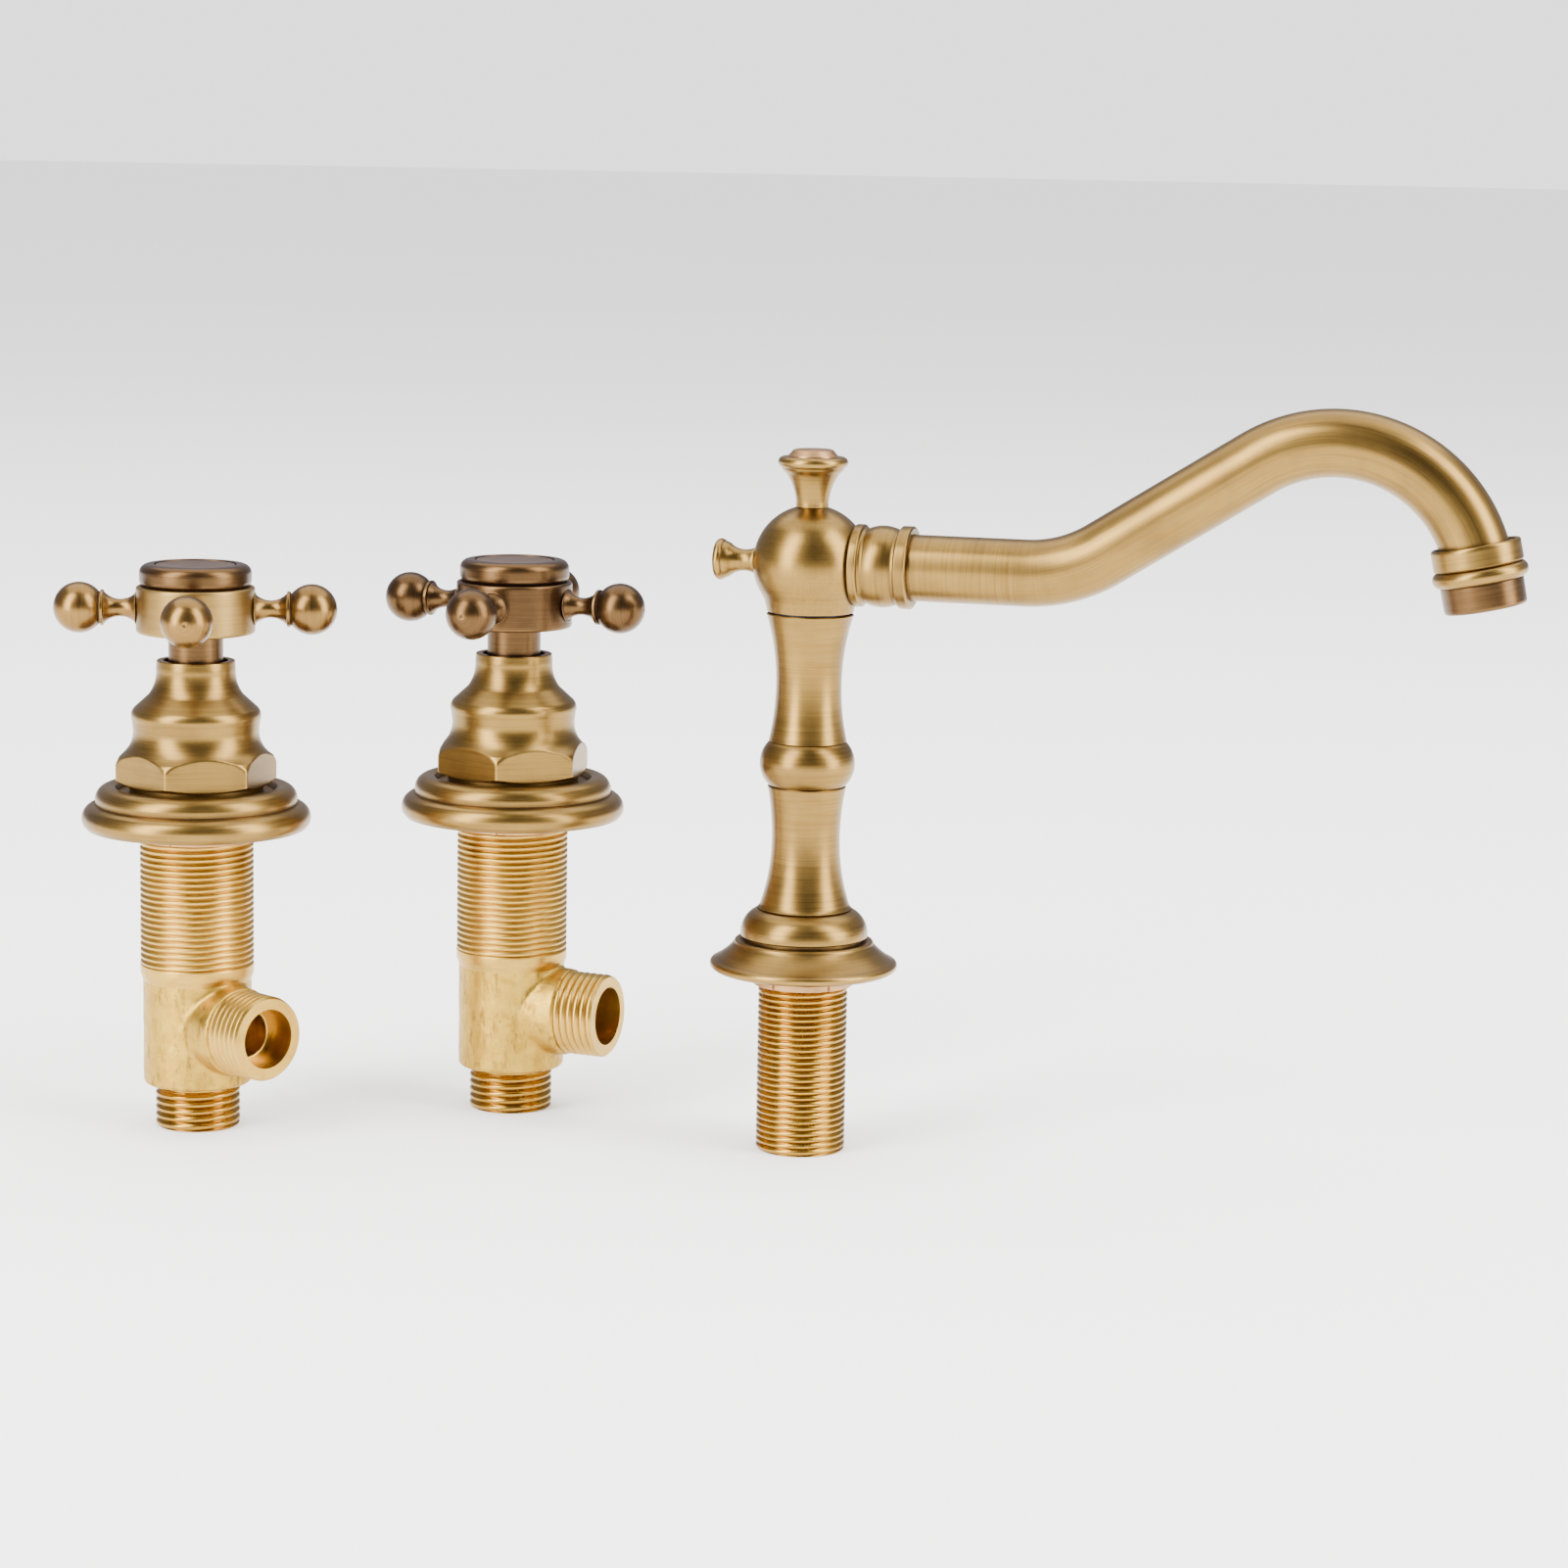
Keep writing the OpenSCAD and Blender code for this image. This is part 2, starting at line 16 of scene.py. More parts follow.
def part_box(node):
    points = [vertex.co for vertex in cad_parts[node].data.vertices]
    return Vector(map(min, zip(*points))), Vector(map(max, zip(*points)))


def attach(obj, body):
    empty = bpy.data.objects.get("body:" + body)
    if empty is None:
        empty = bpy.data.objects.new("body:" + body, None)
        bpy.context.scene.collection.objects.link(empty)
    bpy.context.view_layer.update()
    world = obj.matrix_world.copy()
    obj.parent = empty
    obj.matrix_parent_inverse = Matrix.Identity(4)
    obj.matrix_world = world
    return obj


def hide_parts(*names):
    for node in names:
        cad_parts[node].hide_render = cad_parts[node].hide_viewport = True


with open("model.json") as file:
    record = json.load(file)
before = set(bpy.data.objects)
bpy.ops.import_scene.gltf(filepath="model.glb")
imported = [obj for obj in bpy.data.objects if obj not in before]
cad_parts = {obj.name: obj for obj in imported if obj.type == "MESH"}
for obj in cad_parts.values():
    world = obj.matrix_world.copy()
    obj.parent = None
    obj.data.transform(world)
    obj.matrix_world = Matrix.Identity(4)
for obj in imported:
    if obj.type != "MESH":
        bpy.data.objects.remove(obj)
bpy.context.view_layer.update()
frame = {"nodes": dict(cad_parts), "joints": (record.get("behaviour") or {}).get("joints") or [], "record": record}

MM = 0.001
AXIS_R = 1e-6  # an outline point nearer the axis than this, in mm, lies on it
FILLET_STEPS = 6
MOUNTS = {m["name"]: m for m in frame["record"]["mounts"]}
JOINTS = {j["name"]: j for j in frame["joints"]}

# ---- Outlines ---------------------------------------------------------------


def arc(cx, cy, r, a0, a1, n=10):
    """Points on a circle from angle a0 to a1, in degrees."""
    angles = [radians(a0 + (a1 - a0) * i / n) for i in range(n + 1)]
    return [(cx + r * cos(a), cy + r * sin(a)) for a in angles]


def rounded(points):
    """The outline with each corner given as (r, z, fillet) turned into an arc of that radius."""
    result = []
    count = len(points)
    for i, p in enumerate(points):
        if len(p) == 2 or p[2] <= 0:
            result.append((p[0], p[1]))
            continue
        here = Vector(p[:2])
        back = Vector(points[i - 1][:2]) - here
        on = Vector(points[(i + 1) % count][:2]) - here
        half = back.angle(on) / 2
        reach = min(p[2] / math.tan(half), 0.49 * back.length, 0.49 * on.length)
        start, end = here + back.normalized() * reach, here + on.normalized() * reach
        for k in range(FILLET_STEPS + 1):
            t = k / FILLET_STEPS
            q = (1 - t) ** 2 * start + 2 * t * (1 - t) * here + t * t * end
            result.append((q.x, q.y))
    return result


def resampled(points, step, closed):
    """The outline with no stretch longer than step."""
    result = []
    pairs = zip(points, points[1:] + points[:1]) if closed else zip(points, points[1:])
    for a, b in pairs:
        n = max(1, math.ceil(math.dist(a, b) / step))
        result += [(a[0] + (b[0] - a[0]) * i / n, a[1] + (b[1] - a[1]) * i / n) for i in range(n)]
    return result if closed else result + [points[-1]]


# ---- Building pieces --------------------------------------------------------


class Piece:
    """One visible piece: shells in millimetres, gathered and then made into one object in metres."""

    def __init__(self, name):
        self.name = name
        self.points, self.faces, self.turned, self.lengthwise = [], [], [], []

    def add(self, points, faces, turned, place, lengthwise=None):
        """Adds one shell. turned holds (distance along the outline, x, y), which the brushing follows."""
        first = len(self.points)
        self.points += [place @ Vector(p) for p in points]
        self.faces += [tuple(first + i for i in f) for f in faces]
        self.turned += turned
        self.lengthwise += lengthwise or [0.0] * len(points)

    def lathe(self, outline, place=Matrix(), segments=128, step=0.6, shape=None, lengthwise=0.0):
        """Turns an outline about Z. It is closed, or open with both ends on the axis.
        shape(r, z, angle) may change the radius of a point off the plain circle."""
        outline = rounded(outline)
        closed = outline[0][0] > AXIS_R
        outline = resampled(outline, step, closed)
        points, turned, rings = [], [], []
        s = 0.0
        for k, (r, z) in enumerate(outline):
            s += math.dist(outline[k - 1], (r, z)) if k else 0.0
            if r < AXIS_R:
                rings.append([len(points)] * segments)
                points.append((0, 0, z))
                turned.append((s, 0, 0))
                continue
            rings.append(list(range(len(points), len(points) + segments)))
            for i in range(segments):
                a = 2 * pi * i / segments
                q = shape(r, z, a) if shape else r
                points.append((q * cos(a), q * sin(a), z))
                turned.append((s, q * cos(a), q * sin(a)))
        pairs = list(zip(rings, rings[1:] + rings[:1])) if closed else list(zip(rings, rings[1:]))
        faces = []
        for low, high in pairs:
            for i in range(segments):
                j = (i + 1) % segments
                quad = list(dict.fromkeys((low[i], low[j], high[j], high[i])))
                if len(quad) > 2:
                    faces.append(quad)
        self.add(points, faces, turned, place, [lengthwise] * len(points))

    def thread(self, major_r, pitch, z0, z1, bore_r, place=Matrix(), segments=120):
        """A sleeve with a helical thread outside and a plain bore, or solid if bore_r is 0."""
        per_turn = 12
        flank = 0.36  # from the middle of the groove to the crest, as a share of the pitch
        depth = 0.32 * pitch
        end_r = major_r - depth
        rows = math.ceil((z1 - z0) / pitch + 2) * per_turn

        def height(j):
            from_groove = abs((j % per_turn) / per_turn - 0.5)
            return min(1.0, from_groove / flank)

        points, turned, index, welded = [], [], {}, {}
        for j in range(rows + 1):
            for i in range(segments):
                z = z0 + pitch * (j / per_turn - 1 + i / segments)
                z = min(z1, max(z0, z))
                r = min(end_r + depth * height(j), end_r + (z - z0), end_r + (z1 - z))
                key = (i, round(z, 5), round(r, 5)) if z in (z0, z1) else (i, j)
                if key not in welded:
                    a = 2 * pi * i / segments
                    welded[key] = len(points)
                    points.append((r * cos(a), r * sin(a), z))
                    turned.append((z, r * cos(a), r * sin(a)))
                index[j, i] = welded[key]
        faces = []
        for j in range(rows):
            for i in range(segments):
                right, on = (i + 1, 0) if i + 1 < segments else (0, per_turn)
                if j + 1 + on > rows:
                    continue
                quad = (index[j, i], index[j + on, right], index[j + on + 1, right], index[j + 1, i])
                quad = list(dict.fromkeys(quad))
                if len(quad) > 2:
                    faces.append(quad)
        low, high = [[index[j, i] for i in range(segments)] for j in (0, rows)]
        if bore_r:
            first = len(points)
            for z in (z1, z0):
                for i in range(segments):
                    a = 2 * pi * i / segments
                    points.append((bore_r * cos(a), bore_r * sin(a), z))
                    turned.append((z, bore_r * cos(a), bore_r * sin(a)))
            bore_high, bore_low = [[first + row * segments + i for i in range(segments)] for row in (0, 1)]
            loops = [high, bore_high, bore_low, low]
            for one, two in zip(loops, loops[1:]):
                for i in range(segments):
                    j = (i + 1) % segments
                    faces.append((one[i], one[j], two[j], two[i]))
        else:
            faces += [tuple(low), tuple(high)]
        self.add(points, faces, turned, place)

    def finish(self, material, body, slot, *nodes, sharp=38):
        """Makes the object, gives it its attributes and material, and puts it on its body."""
        mesh = bpy.data.meshes.new(self.name)
        mesh.from_pydata([tuple(p * MM) for p in self.points], [], self.faces)
        bm = bmesh.new()
        bm.from_mesh(mesh)
        bmesh.ops.recalc_face_normals(bm, faces=bm.faces[:])
        bm.to_mesh(mesh)
        bm.free()
        mesh.shade_smooth()
        mesh.set_sharp_from_angle(angle=radians(sharp))
        turned = mesh.attributes.new("turned", "FLOAT_VECTOR", "POINT")
        turned.data.foreach_set("vector", np.array(self.turned, np.float32).ravel())
        lengthwise = mesh.attributes.new("lengthwise", "FLOAT", "POINT")
        lengthwise.data.foreach_set("value", np.array(self.lengthwise, np.float32))
        add_form(mesh)
        obj = bpy.data.objects.new(self.name, mesh)
        bpy.context.scene.collection.objects.link(obj)
        mesh.materials.append(material)
        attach(obj, body)
        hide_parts(*nodes)
        return obj


def add_form(mesh, rounds=2):
    """Stores how convex (+) or hollow (-) the surface is at each vertex, for wear, dark oxide, painted highlights
    on edges and painted shade in recesses.
    """
    count = len(mesh.vertices)
    co = np.empty(count * 3)
    mesh.vertices.foreach_get("co", co)
    co = co.reshape(-1, 3) / MM
    normal = np.empty(count * 3)
    mesh.vertices.foreach_get("normal", normal)
    normal = normal.reshape(-1, 3)
    edges = np.empty(len(mesh.edges) * 2, int)
    mesh.edges.foreach_get("vertices", edges)
    a, b = edges.reshape(-1, 2).T
    reach = co[b] - co[a]
    square = np.maximum((reach ** 2).sum(1), 0.01)
    bend_a = -2 * (normal[a] * reach).sum(1) / square
    bend_b = 2 * (normal[b] * reach).sum(1) / square
    degree = np.bincount(a, minlength=count) + np.bincount(b, minlength=count)
    form = np.bincount(a, bend_a, count) + np.bincount(b, bend_b, count)
    form = np.tanh(form / np.maximum(degree, 1))
    for _ in range(rounds):
        near = np.bincount(a, form[b], count) + np.bincount(b, form[a], count)
        form = (form + near) / (degree + 1)
    attribute = mesh.attributes.new("form", "FLOAT", "POINT")
    attribute.data.foreach_set("value", form.astype(np.float32))


# ---- Materials --------------------------------------------------------------


def srgb(r, g, b):
    """A colour given as it looks on a screen, 0 to 255, as the linear values that shaders take."""
    shares = (r / 255, g / 255, b / 255)
    linear = [c / 12.92 if c <= 0.04045 else ((c + 0.055) / 1.055) ** 2.4 for c in shares]
    return (*linear, 1.0)


class Nodes:
    """Short names for making shader nodes in one material."""

    def __init__(self, name):
        self.material = bpy.data.materials.new(name)
        self.material.use_nodes = True
        self.tree = self.material.node_tree
        self.tree.nodes.clear()
        self.shader = self.new("ShaderNodeBsdfPrincipled")
        output = self.new("ShaderNodeOutputMaterial")
        self.tree.links.new(self.shader.outputs[0], output.inputs[0])

    def new(self, kind, **settings):
        made = self.tree.nodes.new(kind)
        for key, value in settings.items():
            setattr(made, key, value)
        return made

    def put(self, socket, value):
        if isinstance(value, bpy.types.NodeSocket):
            self.tree.links.new(value, socket)
        else:
            socket.default_value = value

    def attribute(self, name, output):
        return self.new("ShaderNodeAttribute", attribute_name=name).outputs[output]

    def place(self):
        return self.new("ShaderNodeTexCoord").outputs["Object"]

    def stretched(self, vector, factors):
        made = self.new("ShaderNodeVectorMath", operation="MULTIPLY")
        self.put(made.inputs[0], vector)
        made.inputs[1].default_value = factors
        return made.outputs[0]

    def noise(self, vector, scale=1.0, detail=3.0, roughness=0.55):
        made = self.new("ShaderNodeTexNoise")
        self.put(made.inputs["Vector"], vector)
        made.inputs["Scale"].default_value = scale
        made.inputs["Detail"].default_value = detail
        made.inputs["Roughness"].default_value = roughness
        return made.outputs["Fac"]

    def math(self, operation, a, b=0.0, clamp=False):
        made = self.new("ShaderNodeMath", operation=operation, use_clamp=clamp)
        self.put(made.inputs[0], a)
        self.put(made.inputs[1], b)
        return made.outputs[0]

    def span(self, value, from_low, from_high, to_low=0.0, to_high=1.0):
        made = self.new("ShaderNodeMapRange")
        self.put(made.inputs["Value"], value)
        limits = {"From Min": from_low, "From Max": from_high, "To Min": to_low, "To Max": to_high}
        for key, limit in limits.items():
            made.inputs[key].default_value = limit
        return made.outputs["Result"]

    def blend(self, share, a, b):
        made = self.new("ShaderNodeMix", data_type="FLOAT")
        self.put(made.inputs["Factor"], share)
        self.put(made.inputs["A"], a)
        self.put(made.inputs["B"], b)
        return made.outputs["Result"]

    def mix(self, share, a, b):
        made = self.new("ShaderNodeMix", data_type="RGBA")
        self.put(made.inputs["Factor"], share)
        self.put(made.inputs["A"], a)
        self.put(made.inputs["B"], b)
        return made.outputs["Result"]

    def bump(self, height, strength, distance):
        made = self.new("ShaderNodeBump")
        made.inputs["Strength"].default_value = strength
        made.inputs["Distance"].default_value = distance
        self.put(made.inputs["Height"], height)
        self.put(self.shader.inputs["Normal"], made.outputs[0])


def brushed_brass(name, tone, light, patina_and_shade, rough, depth=1.0, worn_and_sheen_share=0.7):
    """Aged brass: fine brushing round or along the piece, dark oxide and painted shade in recesses and between
    parts, edges lightened as wear and as a painted highlight.
    """
    n = Nodes(name)
    turned = n.attribute("turned", "Vector")
    lengthwise = n.attribute("lengthwise", "Fac")

    def brushing(across, along, detail):
        """Streaks, with the noise scale per mm across them and along them."""
        round_lines = n.noise(n.stretched(turned, (across, along, along)), detail=detail, roughness=0.6)
        long_lines = n.noise(n.stretched(turned, (along, across, across)), detail=detail, roughness=0.6)
        return n.blend(lengthwise, round_lines, long_lines)

    lines = brushing(across=7.0, along=0.05, detail=4.0)
    bands = brushing(across=0.9, along=0.02, detail=3.0)
    clouds = n.noise(n.place(), scale=70.0, detail=3.0)
    form = n.attribute("form", "Fac")
    # painted shade: the occlusion node darkens recesses and the joints between parts toward the patina colour, on
    # top of the patina that the concave form adds
    occlusion = n.new("ShaderNodeAmbientOcclusion", samples=6)
    occlusion.inputs["Distance"].default_value = 2.0 * MM
    shaded = n.span(occlusion.outputs["AO"], 0.8, 0.2)
    hollow = n.math("MAXIMUM", n.span(form, -0.06, -0.4), shaded)
    # convex edges lightened toward the light tone: partly wear, partly a painted highlight
    worn_and_sheen = n.math("MULTIPLY", n.span(form, 0.15, 0.5), worn_and_sheen_share)
    tarnish = n.math("MULTIPLY", n.span(clouds, 0.45, 0.75), 0.35)
    colour = n.mix(n.span(lines, 0.3, 0.7), tone, light)
    colour = n.mix(n.math("MULTIPLY", n.span(bands, 0.5, 0.8), 0.35), colour, patina_and_shade)
    colour = n.mix(tarnish, colour, patina_and_shade)
    colour = n.mix(worn_and_sheen, colour, light)
    colour = n.mix(n.math("MULTIPLY", hollow, 0.9), colour, patina_and_shade)
    n.put(n.shader.inputs["Base Color"], colour)
    n.shader.inputs["Metallic"].default_value = 1.0
    dull = n.math("ADD", n.span(lines, 0.3, 0.7, rough - 0.03, rough + 0.05), n.math("MULTIPLY", hollow, 0.2))
    n.put(n.shader.inputs["Roughness"], dull)
    n.bump(lines, 0.16 * depth, 0.03 * MM)
    return n.material


def machined_brass(name, tone, light, dark, rough):
    """Bare cut brass: turning marks, light stains, painted shade in thread roots, painted highlights on crests."""
    n = Nodes(name)
    turned = n.attribute("turned", "Vector")
    marks = n.noise(n.stretched(turned, (6.0, 0.25, 0.25)), detail=3.0)
    stains = n.noise(n.place(), scale=160.0, detail=5.0, roughness=0.65)
    form = n.attribute("form", "Fac")
    # painted shade: this mask darkens thread roots and concave corners
    root = n.span(form, -0.1, -0.6)
    # painted highlight: this mask lightens thread crests and convex edges
    crest_highlight = n.span(form, 0.1, 0.6)
    colour = n.mix(n.span(marks, 0.3, 0.7), tone, light)
    colour = n.mix(n.math("MULTIPLY", crest_highlight, 0.5), colour, light)
    colour = n.mix(n.math("MULTIPLY", root, 0.15), colour, dark)
    colour = n.mix(n.math("MULTIPLY", n.span(stains, 0.55, 0.75), 0.35), colour, dark)
    n.put(n.shader.inputs["Base Color"], colour)
    n.shader.inputs["Metallic"].default_value = 1.0
    n.put(n.shader.inputs["Roughness"], n.span(stains, 0.3, 0.7, rough - 0.05, rough + 0.1))
    n.bump(marks, 0.3, 0.04 * MM)
    return n.material


def cast_brass(name, tone, light, dark):
    """Sand-cast brass: grain, pits, and dark smears drawn out upright."""
    n = Nodes(name)
    place = n.place()
    grain = n.noise(place, scale=1400.0, detail=4.0, roughness=0.7)
    lumps = n.noise(place, scale=260.0, detail=3.0)
    smear_place = n.stretched(place, (1.0, 1.0, 0.3))
    smears = n.noise(smear_place, scale=420.0, detail=6.0, roughness=0.75)
    specks = n.noise(place, scale=900.0, detail=5.0, roughness=0.8)
    colour = n.mix(n.span(lumps, 0.35, 0.65), tone, light)
    colour = n.mix(n.math("MULTIPLY", n.span(smears, 0.52, 0.7), 0.85), colour, dark)
    colour = n.mix(n.math("MULTIPLY", n.span(specks, 0.6, 0.68), 0.8), colour, dark)
    n.put(n.shader.inputs["Base Color"], colour)
    n.shader.inputs["Metallic"].default_value = 1.0
    n.put(n.shader.inputs["Roughness"], n.span(grain, 0.3, 0.7, 0.32, 0.5))
    n.bump(n.math("ADD", grain, lumps), 0.5, 0.12 * MM)
    return n.material


def fine_grained(name, low, high, rough, metallic=0.0, scale=900.0):
    """A plain fine-grained finish, such as rubber, plastic, ceramic or stainless steel."""
    n = Nodes(name)
    grain = n.noise(n.place(), scale=scale, detail=4.0)
    n.put(n.shader.inputs["Base Color"], n.mix(n.span(grain, 0.35, 0.65), low, high))
    n.shader.inputs["Metallic"].default_value = metallic
    n.put(n.shader.inputs["Roughness"], n.span(grain, 0.3, 0.7, rough - 0.06, rough + 0.06))
    n.bump(grain, 0.2, 0.03 * MM)
    return n.material


ANTIQUE = brushed_brass("antique_brass", srgb(122, 94, 44), srgb(150, 119, 63), srgb(68, 49, 33), 0.31)
SATIN = brushed_brass("satin_brass", srgb(132, 104, 54), srgb(156, 126, 72), srgb(84, 60, 36), 0.38, 0.6)
BRONZED = brushed_brass("bronzed_brass", srgb(116, 86, 44), srgb(140, 108, 60), srgb(66, 45, 29), 0.29)
BROWNED = brushed_brass("browned_brass", srgb(78, 56, 33), srgb(102, 76, 47), srgb(44, 32, 25), 0.31)
MAUVE = brushed_brass("mauve_bronze", srgb(124, 97, 80), srgb(144, 116, 97), srgb(66, 47, 38), 0.36, 0.6)
RAW = machined_brass("raw_brass", srgb(182, 142, 58), srgb(200, 161, 76), srgb(146, 108, 44), 0.32)
REDDISH = machined_brass("reddish_brass", srgb(152, 113, 40), srgb(178, 138, 58), srgb(112, 76, 28), 0.22)
ROSY = machined_brass("rosy_brass", srgb(164, 122, 80), srgb(184, 144, 100), srgb(112, 78, 50), 0.34)
CAST = cast_brass("cast_brass", srgb(180, 141, 50), srgb(198, 160, 64), srgb(100, 70, 28))
RUBBER = fine_grained("black_rubber", srgb(26, 26, 27), srgb(38, 38, 38), 0.6)
PLASTIC = fine_grained("white_plastic", srgb(226, 224, 216), srgb(238, 236, 230), 0.42)
BLACK_PLASTIC = fine_grained("black_plastic", srgb(30, 30, 31), srgb(42, 42, 43), 0.45)
CERAMIC = fine_grained("lapped_ceramic", srgb(218, 214, 204), srgb(232, 229, 221), 0.25, scale=2400.0)
STEEL = fine_grained("stainless_steel", srgb(150, 151, 152), srgb(176, 177, 178), 0.28,
                     metallic=1.0, scale=1600.0)

# ---- Places in the frame ----------------------------------------------------


def low_z(node):
    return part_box(node)[0].z / MM


def moved(x=0.0, y=0.0, z=0.0):
    return Matrix.Translation((x, y, z))


def turn_z(degrees):
    return Matrix.Rotation(radians(degrees), 4, "Z")


TO_X = Matrix.Rotation(pi / 2, 4, "Y")
TO_BACK = Matrix.Rotation(-pi / 2, 4, "Y")


def heading(axis):
    """The direction of an axis seen from above, in degrees from X."""
    return math.degrees(math.atan2(axis[1], axis[0]))


# ---- Valves -----------------------------------------------------------------

METRIC_PITCH = 1.5
PIPE_PITCH = 1.814
SHANK_R = 14.0
PIPE_R = 10.4775
BOSS_R = PIPE_R + 0.55
CAST_R = 13.4
CAST_Z = (10.9, 38.4)
PORT_R = 7.35
RISER_R = 5.0
PORT_STEP_R = 5.5
OUTLET_Z = 26.0
OUTLET_U = (17.0, 27.3)
HEX_FLATS = 34.5
HUB_R, HUB_H = 14.5, 11.5
ARM_Z, ARM_REACH, ARM_BALL_R, ARMS = 6, 28.3, 6.27, 4
NOTCH_DEPTH, NOTCH_HALF_WIDTH = 0.6, 0.9


def cast_shell(name, outlet_turn, at):
    """The cast T: a cylinder and a side boss, run together by a voxel remesh and roughened like a casting."""
    voxel, big_lump, small_lump, sink = 0.42, 0.10, 0.05, 0.06
    raw = Piece(name)
    low, high = CAST_Z
    raw.lathe([(0, low), (CAST_R, low, 1.0), (CAST_R, high, 0.4), (0, high)], segments=64, step=2)
    boss = [(0, 2), (BOSS_R, 2), (BOSS_R, OUTLET_U[0], 0.8), (0, OUTLET_U[0])]
    along = turn_z(outlet_turn) @ moved(z=OUTLET_Z) @ TO_X
    raw.lathe(boss, along, segments=64, step=2)
    mesh = bpy.data.meshes.new(name)
    mesh.from_pydata([tuple(p) for p in raw.points], [], raw.faces)
    obj = bpy.data.objects.new(name, mesh)
    bpy.context.scene.collection.objects.link(obj)
    remesh = obj.modifiers.new("remesh", "REMESH")
    remesh.mode = "VOXEL"
    remesh.voxel_size = voxel
    mesh = applied(obj)
    soften_joint(mesh, along.inverted())
    normals = [vertex.normal.copy() for vertex in mesh.vertices]
    for vertex, normal in zip(mesh.vertices, normals):
        big = noise.noise(vertex.co * 0.35)
        small = noise.noise(vertex.co * 1.3 + Vector((7, 3, 1)))
        vertex.co += normal * (big_lump * big + small_lump * small - sink)
    obj.data = mesh
    cutters = [cutter(PORT_STEP_R, 8.8, 30, along), cutter(RISER_R, 0, high - 2, Matrix())]
    for tool in cutters:
        cut = obj.modifiers.new("cut", "BOOLEAN")
        cut.operation = "DIFFERENCE"
        cut.solver = "MANIFOLD"
        cut.object = tool
    mesh = applied(obj)
    for tool in cutters:
        bpy.data.objects.remove(tool)
    bpy.data.objects.remove(obj)
    shell = Piece(name)
    points = [tuple(v.co) for v in mesh.vertices]
    faces = [tuple(p.vertices) for p in mesh.polygons]
    shell.add(points, faces, [(p[2], p[0], p[1]) for p in points], at)
    return shell


def applied(obj):
    """The mesh that obj's modifiers make, with the modifiers then removed."""
    graph = bpy.context.evaluated_depsgraph_get()
    mesh = bpy.data.meshes.new_from_object(obj.evaluated_get(graph))
    obj.modifiers.clear()
    return mesh


def cutter(r, z0, z1, place):
    """A cylinder to be taken out of the casting."""
    tool = Piece("cutter")
    tool.lathe([(0, z0), (r, z0), (r, z1), (0, z1)], place, segments=64, step=50)
    mesh = bpy.data.meshes.new("cutter")
    mesh.from_pydata([tuple(p) for p in tool.points], [], tool.faces)
    obj = bpy.data.objects.new("cutter", mesh)
    bpy.context.scene.collection.objects.link(obj)
    return obj


def soften_joint(mesh, to_boss, rounds=14, reach=2.6):
    """Smooths the vertices where the side boss leaves the cylinder, as a cast fillet."""
    bm = bmesh.new()
    bm.from_mesh(mesh)
    near = []
    for v in bm.verts:
        local = to_boss @ v.co
        off_boss = abs(Vector(local[:2]).length - BOSS_R)
        off_body = abs(Vector(v.co[:2]).length - CAST_R)
        if off_boss < reach and off_body < reach and 0 < local.z < OUTLET_U[0] - 0.8:
            near.append(v)
    axes = {"use_axis_x": True, "use_axis_y": True, "use_axis_z": True}
    for _ in range(rounds):
        bmesh.ops.smooth_vert(bm, verts=near, factor=0.6, **axes)
    bmesh.ops.smooth_vert(bm, verts=bm.verts[:], factor=0.5, **axes)
    bm.normal_update()
    bm.to_mesh(mesh)
    bm.free()


def ring_nut(node, bore_r, rim, low, high, place, slot):
    """A thin ring nut with six spanner notches."""
    def notched(q, z, a):
        from_notch = (a + pi / 6) % (pi / 3) - pi / 6
        return min(q, rim - NOTCH_DEPTH) if abs(from_notch) * rim < NOTCH_HALF_WIDTH else q

    nut = Piece(node + ".ring")
    outline = [(bore_r, low), (rim, low, 0.25), (rim, high, 0.25), (bore_r, high)]
    nut.lathe(outline, place, segments=360, shape=notched)
    nut.finish(ROSY, "root", slot, node)


def hexed(flats):
    """A shape function that planes a turned piece down to a hexagon, with softened edges."""
    edge, clear, far = 0.10, 1.2, 3
    half = flats / 2

    def shape(r, z, a):
        flat = a % (pi / 3) - pi / 6
        near = [half / cos(flat + k * pi / 3) for k in (-1, 0, 1)]
        plane = half - edge * math.log(sum(math.exp((half - p) / edge) for p in near))
        if r < half - clear or plane - r >= far:
            return r
        return min(r, plane - edge * math.log(math.exp((plane - r) / edge) + 1))

    return shape


def valve_body(side, at):
    """The cast body with the threads cut on it, and the inlet."""
    node = side + "_valve_body"
    outlet_turn = heading(MOUNTS[side + "_outlet"]["axis"])
    along = at @ turn_z(outlet_turn) @ moved(z=OUTLET_Z) @ TO_X
    low, high = CAST_Z
    socket_r, neck_r = PORT_R + 0.15, PIPE_R - 0.9
    cast = cast_shell(node + ".cast", outlet_turn, at)
    cast.finish(CAST, "root", "raw_brass", node)

    cut = Piece(node + ".threads")
    cut.thread(SHANK_R, METRIC_PITCH, high + 2.4, low_z(side + "_flange") + 4, 0, at, segments=144)
    cut.lathe([(12, 36.9), (13.3, 36.9), (13.9, 38.6, 0.6), (SHANK_R, 39.4), (SHANK_R, 41.2, 0.4),
               (12, 41.4)], at)
    cut.thread(PIPE_R, PIPE_PITCH, OUTLET_U[0] - 1, OUTLET_U[1], PORT_R, along)
    cut.lathe([(PORT_STEP_R, 14), (socket_r, 14), (socket_r, 20), (PORT_STEP_R, 20, 0.5)], along)
    cut.finish(RAW, "root", "raw_brass", node)

    inlet = Piece(node + ".inlet")
    inlet.thread(PIPE_R, PIPE_PITCH, 0, low - 1, PORT_R, at)
    inlet.lathe([(RISER_R, 8), (socket_r, 8), (socket_r, low - 1.1), (neck_r, low - 1.1),
                 (neck_r, low + 0.2), (RISER_R, low + 0.2)], at)
    inlet.finish(REDDISH, "root", "raw_brass", node)


